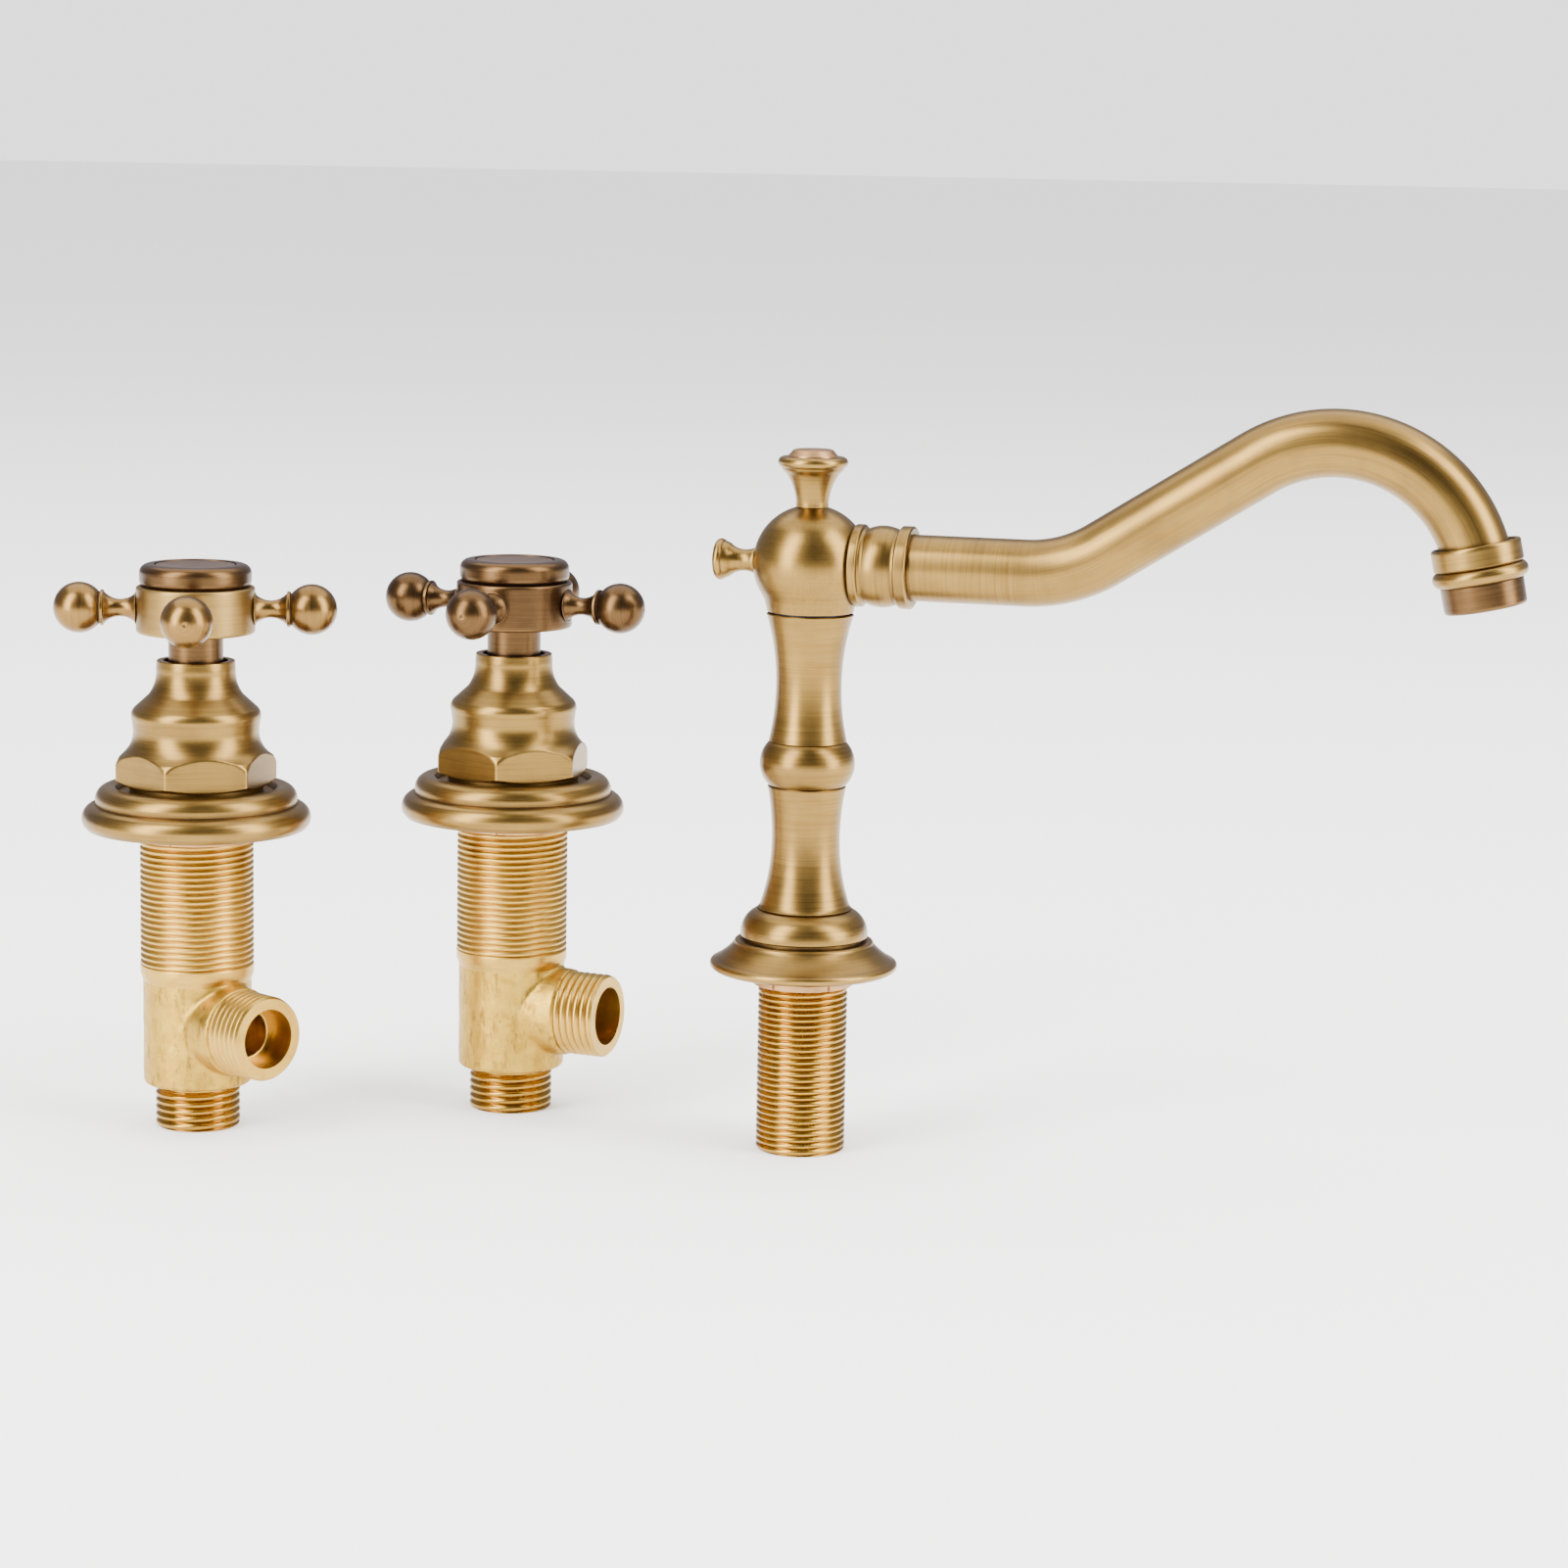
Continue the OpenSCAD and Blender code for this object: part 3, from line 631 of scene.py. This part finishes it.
def valve_trim(side, at, hex_turn):
    """The ring nut, the stepped flange and the bell."""
    deck = low_z(side + "_flange")
    hexagon = at @ turn_z(hex_turn)
    ring_nut(side + "_flange_nut", SHANK_R - 0.5, SHANK_R + 1.2, deck - 2.6, deck + 4.1, hexagon, "raw_brass")

    flange = Piece(side + "_flange.turned")
    flange.lathe([(14.2, 4.2), (14.2, 8.8), (19.2, 8.8, 0.3)] + arc(21.4, 7.2, 3.4, 118, 0, 16)
                 + [(24.6, 6.05, 0.2)] + arc(24.6, 2.5, 3.5, 84, -24, 16)
                 + [(26.9, 0, 0.3), (22, 0), (21, 4.2)], at @ moved(z=deck), segments=192)
    flange.finish(ANTIQUE, "root", "antique_brass", side + "_flange")

    bell = Piece(side + "_bell_cover.turned")
    foot = [(14.3, 8.8), (16.4, 8.8), (16.4, 10.9), (17.3, 10.9), (20.4, 12.1), (20.4, 15.2)]
    swell = arc(22.9, 24.1, 7.5, 238, 178, 14) + arc(13.1, 27.9, 2.8, -22, 42, 12)
    neck = arc(19.6, 38.9, 9.9, 216, 176, 14) + [(9.55, 41.6, 0.25), (7.85, 41.6, 0.2), (7.85, 37.5)]
    inside = [(10.4, 33), (13.2, 29.5), (13.2, 19.5), (14.3, 18.2)]
    bell.lathe(foot + swell + neck + inside, hexagon @ moved(z=deck), segments=360, step=0.5,
               shape=hexed(HEX_FLATS))
    bell.finish(ANTIQUE, "root", "antique_brass", side + "_bell_cover", sharp=60)


def handle(side, at, handle_turn, hub_material, arm_material):
    """The hub with its skirt and arms, and the cap with its disc. Each arm ends in a dimpled ball."""
    head = side + "_handle"
    on_hub = at @ turn_z(handle_turn) @ moved(z=low_z(head + "_hub"))
    hub = Piece(head + "_hub.turned")
    hub.lathe([(4, 0), (HUB_R, 0, 0.9), (HUB_R, HUB_H, 0.7), (9.6, HUB_H), (9.6, 5), (4, 5)],
              on_hub, segments=160)
    hub.finish(hub_material, head, "antique_brass", head + "_hub")

    skirt = Piece(head + "_skirt.turned")
    skirt.lathe([(5.2, -17), (6.7, -17), (6.7, 0.9), (5.2, 0.9)], on_hub)
    skirt.finish(BROWNED, head, "dark_brass", head + "_skirt")

    root = [(0, 11.2), (2, 11.2), (2, 14.3), (4.1, 14.3, 0.2), (4.1, 14.6, 0.1), (3.9, 14.65)]
    neck = arc(7.35, ARM_REACH - 10, 5.2, 227, 134, 16)
    bead = [(3.85, ARM_REACH - 6.1), (4.4, ARM_REACH - 5.95, 0.15), (4.4, ARM_REACH - 5.25, 0.15),
            (3.95, ARM_REACH - 5.05)]
    end = arc(0, ARM_REACH, ARM_BALL_R, -51, 86, 30)
    dimple = [(0.35, ARM_REACH + ARM_BALL_R - 0.05), (0, ARM_REACH + ARM_BALL_R - 0.22)]
    for k in range(ARMS):
        out = on_hub @ moved(z=ARM_Z) @ turn_z(360 / ARMS * k) @ TO_X
        arm = Piece(f"{head}_arms.{k + 1}")
        arm.lathe(root + neck + bead + end + dimple, out, segments=96, step=0.5)
        arm.finish(arm_material, head, "antique_brass", head + "_arms")

    cap = Piece(side + "_cap_ring.turned")
    cap.lathe([(8, 9), (9.5, 9), (9.5, 11.5), (13.0, 11.5, 0.25)] + arc(11.9, 13.1, 1.8, -32, 0, 5)
              + arc(11.5, 14.8, 2.2, 4, 90, 12) + [(10, 17, 0.15), (9.9, 15.4), (8, 15.4)],
              on_hub, segments=160)
    cap.finish(BROWNED, head, "dark_brass", side + "_cap_ring")

    disc = Piece(side + "_index_disc.turned")
    disc.lathe([(0, 15.4), (9.65, 15.4), (9.65, 16.8, 0.15), (9.2, 16.85), (6, 16.6), (0, 16.4)],
               on_hub, segments=160)
    disc.finish(MAUVE, head, "dark_brass", side + "_index_disc")


def valve(side, handle_turn, hex_turn, hub_material, arm_material):
    x, y, _ = JOINTS[side + "_handle_turn"]["pos_m"]
    at = moved(x / MM, y / MM)
    valve_body(side, at)
    valve_trim(side, at, hex_turn)
    handle(side, at, handle_turn, hub_material, arm_material)


valve("hot", handle_turn=7, hex_turn=19, hub_material=SATIN, arm_material=BRONZED)
valve("cold", handle_turn=-15, hex_turn=25, hub_material=BROWNED, arm_material=BROWNED)

# ---- Spout ------------------------------------------------------------------

SPOUT_SHANK_R, SPOUT_NECK_R = 11.0, 10.5
DECK = low_z("spout_flange")
COLUMN_LOW, COLUMN_HIGH = DECK + 14.9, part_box("column")[1].z / MM
BALL_Z = JOINTS["spout_swivel"]["pos_m"][2] / MM + 12.1
BALL_R = 14.1
SEAT_Z = BALL_Z + BALL_R - 0.5
ON_ARM = turn_z(heading(MOUNTS["water_outlet"]["pos_m"]))
ALONG_ARM = ON_ARM @ moved(z=BALL_Z) @ TO_X

# the arm's centre line: level, an upward bend, a straight climb, and a bend over the top
TUBE_R, TUBE_BORE_R = 8.0, 7.0
TUBE_START, LEVEL_END, BEND_R, CLIMB_L, FALL = 20.6, 52.9, 34.375, 42.5, 78.0
CLIMB = math.degrees(math.atan2(336, 527))  # the 336-527-625 triangle, as in the design
LEVEL_STEPS, BEND_STEPS, CLIMB_STEPS, TOP_STEPS = 24, 30, 32, 90
LENGTHWISE_FROM, LENGTHWISE_OVER = 50, 14


def spout_foot():
    """The threaded shank, its ring nut, the dished flange and the bead on it."""
    shank = Piece("spout_shank.threaded")
    shank.thread(SPOUT_SHANK_R, METRIC_PITCH, 0, DECK + 2, 7.5, segments=120)
    shank.finish(REDDISH, "root", "shank_brass", "spout_shank")
    ring_nut("spout_flange_nut", SPOUT_NECK_R, 12.35, DECK - 3.6, DECK + 2.5, Matrix(), "shank_brass")

    foot = Piece("spout_flange.turned")
    foot.lathe([(10.6, 2.6), (10.6, 7.4), (16.5, 7.4, 0.2), (16.95, 7.1, 0.2)]
               + arc(31, 18, 18, 219.2, 240.9, 14) + arc(21.9, 1.25, 1.1, 62, -60, 12)
               + [(22, 0), (18, 0), (17.2, 2.6)], moved(z=DECK), segments=192)
    foot.finish(ANTIQUE, "root", "antique_brass", "spout_flange")

    bead = Piece("base_bead.turned")
    bead.lathe([(10.6, 7.4), (14.4, 7.4), (14.4, 8.1), (15.3, 8.25)] + arc(9.3, 9.1, 6.3, -5, 64, 18)
               + [(11.7, 14.9, 0.2), (8.6, 14.9), (8.6, 13.3), (10.6, 13.3)], moved(z=DECK), segments=160)
    bead.finish(ANTIQUE, "root", "antique_brass", "base_bead")


def spout_column():
    """A waisted column with a bead half way up, set off by two fine grooves."""
    foot = [(5, DECK + 4), (8, DECK + 4), (8, COLUMN_LOW), (11.15, COLUMN_LOW, 0.3),
            (11.5, COLUMN_LOW + 0.5)]
    lower = arc(60.3, 77.5, 52, 198.6, 180, 16) + arc(74.3, 77.5, 66, 179.5, 168.8, 10)
    bead = [(9.3, 90.65)] + arc(4.1, 96, 7.5, -43, 43, 20) + [(9.25, 101.4)]
    upper = arc(69.95, 115.3, 62, 192.8, 180, 12) + arc(65.95, 115.3, 58, 179.5, 163.3, 14)
    top = [(10.6, COLUMN_HIGH - 0.3), (10.3, COLUMN_HIGH, 0.2), (6.6, COLUMN_HIGH), (6.6, 117.5), (5, 117.5)]
    column = Piece("column.turned")
    column.lathe(foot + lower + bead + upper + top, segments=160)
    column.finish(ANTIQUE, "root", "antique_brass", "column")


def spout_head():
    """The ball with its finials and button, and the beaded nut that holds the arm."""
    ball = Piece("ball_body.turned")
    ball.lathe([(5.55, -11.7), (10.45, -11.7, 0.2), (10.75, -10.3), (11.2, -8.9)]
               + arc(0, 0, BALL_R, -34, 74, 40)
               + [(3.8, BALL_R - 0.5), (2.05, BALL_R - 0.5), (2.05, 8), (5.55, 6)],
               moved(z=BALL_Z), segments=160, step=0.5, lengthwise=0.5)
    ball.lathe([(6, 9), (8.5, 9), (8.5, 20), (6, 20)], ALONG_ARM)
    ball.finish(ANTIQUE, "spout", "antique_brass", "ball_body")

    finial = Piece("top_finial.turned")
    finial.lathe([(0, -3.5), (2, -3.5), (2, 0), (3.95, 0, 0.1)] + arc(17.7, 0.1, 13.8, 176, 145, 12)
                 + [(7.4, 9)] + arc(7.1, 10.8, 1.35, -60, 90, 14)
                 + [(6.0, 12.15), (6.0, 10.9), (0, 10.9)], moved(z=SEAT_Z))
    finial.finish(ANTIQUE, "spout", "antique_brass", "top_finial")

    button = Piece("finial_cap.turned")
    button.lathe([(0, 10.9), (5.95, 10.9), (5.95, 12.4, 0.1), (5.7, 12.7), (4.85, 13.7, 0.3),
                  (4.3, 13.9), (0, 13.9)], moved(z=SEAT_Z))
    button.finish(ROSY, "spout", "dark_brass", "finial_cap")

    rear = Piece("rear_finial.turned")
    rear.lathe([(0, 10.8), (2, 10.8), (2, 13.8), (3.15, 13.8, 0.1)] + arc(8.2, 16.6, 5.6, 205, 137, 12)
               + [(4.5, 21.4)] + arc(3.85, 22.6, 1.2, -55, 60, 10) + [(2.5, 24.25), (0, 24.5)],
               ON_ARM @ moved(z=BALL_Z) @ TO_BACK)
    rear.finish(ANTIQUE, "spout", "antique_brass", "rear_finial")

    nut = Piece("arm_nut.turned")
    nut.lathe([(8.45, 11.4), (9.4, 10.9, 0.2), (9.95, 11.3, 0.3), (9.95, 13.1, 0.3), (9.2, 13.5, 0.15)]
              + arc(0.95, 17.85, 8.9, -24, 24, 18)
              + [(9.2, 22.2, 0.15), (9.95, 22.6, 0.3), (9.95, 25.1, 0.3), (9.4, 25.4, 0.2),
                 (8.06, 25.4), (8.06, 22.5), (8.45, 22.4)], ALONG_ARM, segments=144)
    nut.finish(ANTIQUE, "spout", "antique_brass", "arm_nut")


def arm_line():
    """Stations along the arm, as (distance, height, slope in degrees)."""
    level = (LEVEL_END - TUBE_START) / LEVEL_STEPS
    stations = [(TUBE_START + level * i, BALL_Z, 0.0) for i in range(LEVEL_STEPS)]
    for i in range(BEND_STEPS):
        a = CLIMB * i / BEND_STEPS
        x, z = BEND_R * sin(radians(a)), BEND_R * (1 - cos(radians(a)))
        stations.append((LEVEL_END + x, BALL_Z + z, a))
    uphill = Vector((cos(radians(CLIMB)), sin(radians(CLIMB))))
    inward = Vector((uphill.y, -uphill.x))
    start = Vector((LEVEL_END, BALL_Z + BEND_R)) + BEND_R * inward
    for i in range(CLIMB_STEPS):
        p = start + CLIMB_L * i / CLIMB_STEPS * uphill
        stations.append((p.x, p.y, CLIMB))
    top = start + CLIMB_L * uphill + BEND_R * inward
    for i in range(TOP_STEPS + 1):
        a = CLIMB - (CLIMB + FALL) * i / TOP_STEPS
        stations.append((top.x - BEND_R * sin(radians(a)), top.y + BEND_R * cos(radians(a)), a))
    return stations


def swept_tube(piece, stations, r_out, r_in, place, segments=96):
    """A tube along the stations, with the brushing round it at first and lengthwise in the bends."""
    points, turned, lengthwise = [], [], []
    s = 0.0
    laps = [(st, r_out) for st in stations] + [(st, r_in) for st in reversed(stations)]
    for k, ((u, z, slope), r) in enumerate(laps):
        if k and r == r_out:
            s += math.dist(laps[k - 1][0][:2], (u, z))
        across = Vector((-sin(radians(slope)), 0, cos(radians(slope))))
        share = min(1.0, max(0.0, (u - LENGTHWISE_FROM) / LENGTHWISE_OVER))
        for i in range(segments):
            a = 2 * pi * i / segments
            p = Vector((u, 0, z)) + across * r * cos(a) + Vector((0, 1, 0)) * r * sin(a)
            points.append(p)
            turned.append((s, r * cos(a), r * sin(a)))
            lengthwise.append(share)
    faces = []
    rows = len(laps)
    for k in range(rows):
        for i in range(segments):
            j, on = (i + 1) % segments, (k + 1) % rows
            faces.append((k * segments + i, k * segments + j, on * segments + j, on * segments + i))
    piece.add(points, faces, turned, place, lengthwise)


def woven_screen(piece, r, z, place, pitch=0.8, wire_r=0.13):
    """A round piece of woven wire cloth with a pressed rim."""
    count = int(r / pitch)
    sides = 6
    for across in (False, True):
        for k in range(-count, count + 1):
            offset = k * pitch
            half = sqrt(max(0.0, r * r - offset * offset)) - 0.1
            steps = max(2, int(2 * half / (pitch / 4)))
            points, faces = [], []
            for m in range(steps + 1):
                along = -half + 2 * half * m / steps
                wave = wire_r * cos(pi * along / pitch) * (1 if (k % 2 == 0) == across else -1)
                for i in range(sides):
                    a = 2 * pi * i / sides
                    side, height = offset + wire_r * cos(a), z + wave + wire_r * sin(a)
                    points.append((side, along, height) if across else (along, side, height))
            for m in range(steps):
                for i in range(sides):
                    low, high = m * sides, (m + 1) * sides
                    j = (i + 1) % sides
                    faces.append((low + i, low + j, high + j, high + i))
            faces.append(tuple(range(sides)))
            faces.append(tuple(steps * sides + i for i in range(sides)))
            piece.add(points, faces, [tuple(p) for p in points], place)
    rim_low, rim_high = z - 0.2, z + 0.2
    piece.lathe([(r - 0.5, rim_low, 0.1), (r, rim_low, 0.1), (r, rim_high, 0.1), (r - 0.5, rim_high, 0.1)],
                place)


def arm():
    """The bent tube with its end ring, and the aerator on it."""
    line = arm_line()
    tube = Piece("arm_tube.bent")
    swept_tube(tube, line, TUBE_R, TUBE_BORE_R, ON_ARM)
    tube.finish(ANTIQUE, "spout", "antique_brass", "arm_tube")

    end_u, end_z, _ = line[-1]
    tilt = Matrix.Rotation(radians(90 + FALL), 4, "Y")
    down = ON_ARM @ moved(end_u, 0, end_z) @ tilt @ moved(z=-5.3)
    end_ring = Piece("tube_end_ring.turned")
    end_ring.lathe([(8.1, 0.5), (9.35, 0.5, 0.3), (9.35, 6.8), (8.1, 6.8)], down)
    end_ring.finish(BROWNED, "spout", "dark_brass", "tube_end_ring")

    collar = Piece("aerator_collar.turned")
    collar.lathe([(9.4, 0.3, 0.1), (9.75, 0, 0.2), (10.15, 0, 0.3), (10.45, 0.45), (10.5, 4.75, 0.2),
                  (10.15, 5.2, 0.15)] + arc(9.2, 7.05, 1.95, -72, 72, 16) + [(9.6, 8.95), (9.4, 8.95)],
                 down, segments=160)
    collar.finish(ANTIQUE, "spout", "antique_brass", "aerator_collar")

    barrel = Piece("aerator_barrel.turned")
    barrel.lathe([(8.35, 7.2), (9.3, 7.2), (9.3, 8.9), (9.7, 9.0, 0.1), (9.6, 15.2, 0.9),
                  (7.7, 15.2, 0.25), (7.7, 14.6), (8.35, 14.6)], down, segments=160)
    barrel.finish(BROWNED, "spout", "dark_brass", "aerator_barrel")

    screen = Piece("aerator_screen.woven")
    woven_screen(screen, 8.2, 14.3, down)
    screen.finish(STEEL, "spout", "steel", "aerator_screen")


spout_foot()
spout_column()
spout_head()
arm()

# ---- Pieces kept as designed -------------------------------------------------

KEPT = {
    "bonnet_gasket": RUBBER, "seat_seal": RUBBER, "spindle_seals": RUBBER, "swivel_seals": RUBBER,
    "arm_gasket": RUBBER, "aerator_gasket": RUBBER, "fixed_disc": CERAMIC, "moving_disc": CERAMIC,
    "spindle_clip": STEEL, "handle_screw": STEEL, "swivel_clip": STEEL, "swivel_bush": BLACK_PLASTIC,
    "aerator_insert": PLASTIC, "cartridge_body": RAW, "spindle": RAW, "swivel_stem": RAW, "tube_ferrule": RAW,
}
for name, node in frame["nodes"].items():
    if node.hide_render:
        continue
    part = name.removeprefix("hot_").removeprefix("cold_")
    node.data.materials.clear()
    node.data.materials.append(KEPT[part])

# ---- Studio -----------------------------------------------------------------

BACKDROP = 2.1  # how bright the backdrop is seen, and how much it lights the floor
ROOM_FRONT, ROOM_BACK = 0.13, 0.5  # what metal reflects on the viewer's side and behind the set
ROOM_COLOUR = (0.94, 0.94, 1.08, 1.0)
FLOOR_R, FLOOR_SIDES = 30.0, 96


def studio_floor():
    material = Nodes("pale_floor")
    grain = material.noise(material.place(), scale=3.0, detail=2.0)
    material.put(material.shader.inputs["Base Color"],
                 material.mix(grain, srgb(246, 246, 245), srgb(250, 250, 249)))
    material.shader.inputs["Roughness"].default_value = 0.9
    material.shader.inputs["Specular IOR Level"].default_value = 0.1
    angles = [2 * pi * i / FLOOR_SIDES for i in range(FLOOR_SIDES)]
    mesh = bpy.data.meshes.new("floor")
    rim = [(FLOOR_R * cos(a), FLOOR_R * sin(a), 0) for a in angles]
    mesh.from_pydata(rim, [], [tuple(range(FLOOR_SIDES))])
    mesh.materials.append(material.material)
    floor = bpy.data.objects.new("floor", mesh)
    bpy.context.scene.collection.objects.link(floor)


def softbox(name, azimuth, elevation, distance, width, height, power):
    """A rectangular light aimed at the middle of the set. Azimuth 0 is the viewer's side, + is rightward."""
    target = Vector((0, 0, 0.09))
    a, e = radians(azimuth), radians(elevation)
    data = bpy.data.lights.new(name, "AREA")
    data.shape = "RECTANGLE"
    data.size, data.size_y, data.energy = width, height, power
    light = bpy.data.objects.new(name, data)
    bpy.context.scene.collection.objects.link(light)
    light.location = target + distance * Vector((sin(a) * cos(e), -cos(a) * cos(e), sin(e)))
    light.rotation_euler = (target - light.location).to_track_quat("-Z", "Y").to_euler()


def studio_world():
    """A pale backdrop that also lights the floor. Metal reflects a cool grey room, darker in front."""
    world = bpy.data.worlds.new("studio")
    bpy.context.scene.world = world
    world.use_nodes = True
    tree = world.node_tree
    tree.nodes.clear()
    output = tree.nodes.new("ShaderNodeOutputWorld")
    seen = tree.nodes.new("ShaderNodeBackground")
    room = tree.nodes.new("ShaderNodeBackground")
    either = tree.nodes.new("ShaderNodeMixShader")
    path = tree.nodes.new("ShaderNodeLightPath")
    place = tree.nodes.new("ShaderNodeTexCoord")
    split = tree.nodes.new("ShaderNodeSeparateXYZ")
    lit = tree.nodes.new("ShaderNodeMath")
    lit.operation = "MAXIMUM"
    ramp = tree.nodes.new("ShaderNodeMapRange")
    ramp.interpolation_type = "SMOOTHSTEP"
    limits = {"From Min": -0.8, "From Max": 0.6, "To Min": ROOM_FRONT, "To Max": ROOM_BACK}
    for key, limit in limits.items():
        ramp.inputs[key].default_value = limit
    tree.links.new(place.outputs["Generated"], split.inputs[0])
    tree.links.new(split.outputs["Y"], ramp.inputs["Value"])
    tree.links.new(ramp.outputs["Result"], room.inputs["Strength"])
    seen.inputs["Color"].default_value = (1.0, 1.0, 1.0, 1.0)
    room.inputs["Color"].default_value = ROOM_COLOUR
    seen.inputs["Strength"].default_value = BACKDROP
    tree.links.new(path.outputs["Is Camera Ray"], lit.inputs[0])
    tree.links.new(path.outputs["Is Diffuse Ray"], lit.inputs[1])
    tree.links.new(lit.outputs[0], either.inputs[0])
    tree.links.new(room.outputs[0], either.inputs[1])
    tree.links.new(seen.outputs[0], either.inputs[2])
    tree.links.new(either.outputs[0], output.inputs[0])


def camera():
    """A long lens a little above the set, as in a catalogue picture."""
    data = bpy.data.cameras.new("camera")
    data.lens = 91.3
    data.sensor_width = 36.0
    obj = bpy.data.objects.new("camera", data)
    bpy.context.scene.collection.objects.link(obj)
    yaw, pitch, roll = radians(-2.9), radians(9.17), radians(1.08)
    level = Matrix.Rotation(-yaw, 4, "Z") @ Matrix.Rotation(pi / 2 - pitch, 4, "X")
    aim = level @ Matrix.Rotation(roll, 4, "Z")
    obj.matrix_world = Matrix.Translation((0.0428, -0.955, 0.245)) @ aim
    bpy.context.scene.camera = obj


studio_floor()
studio_world()
softbox("left_box", -46, 24, 1.5, 0.62, 2.2, 68)
softbox("right_box", 70, 24, 1.5, 0.7, 2.2, 62)
softbox("top_box", 180, 74, 1.9, 3.0, 2.0, 56)
camera()
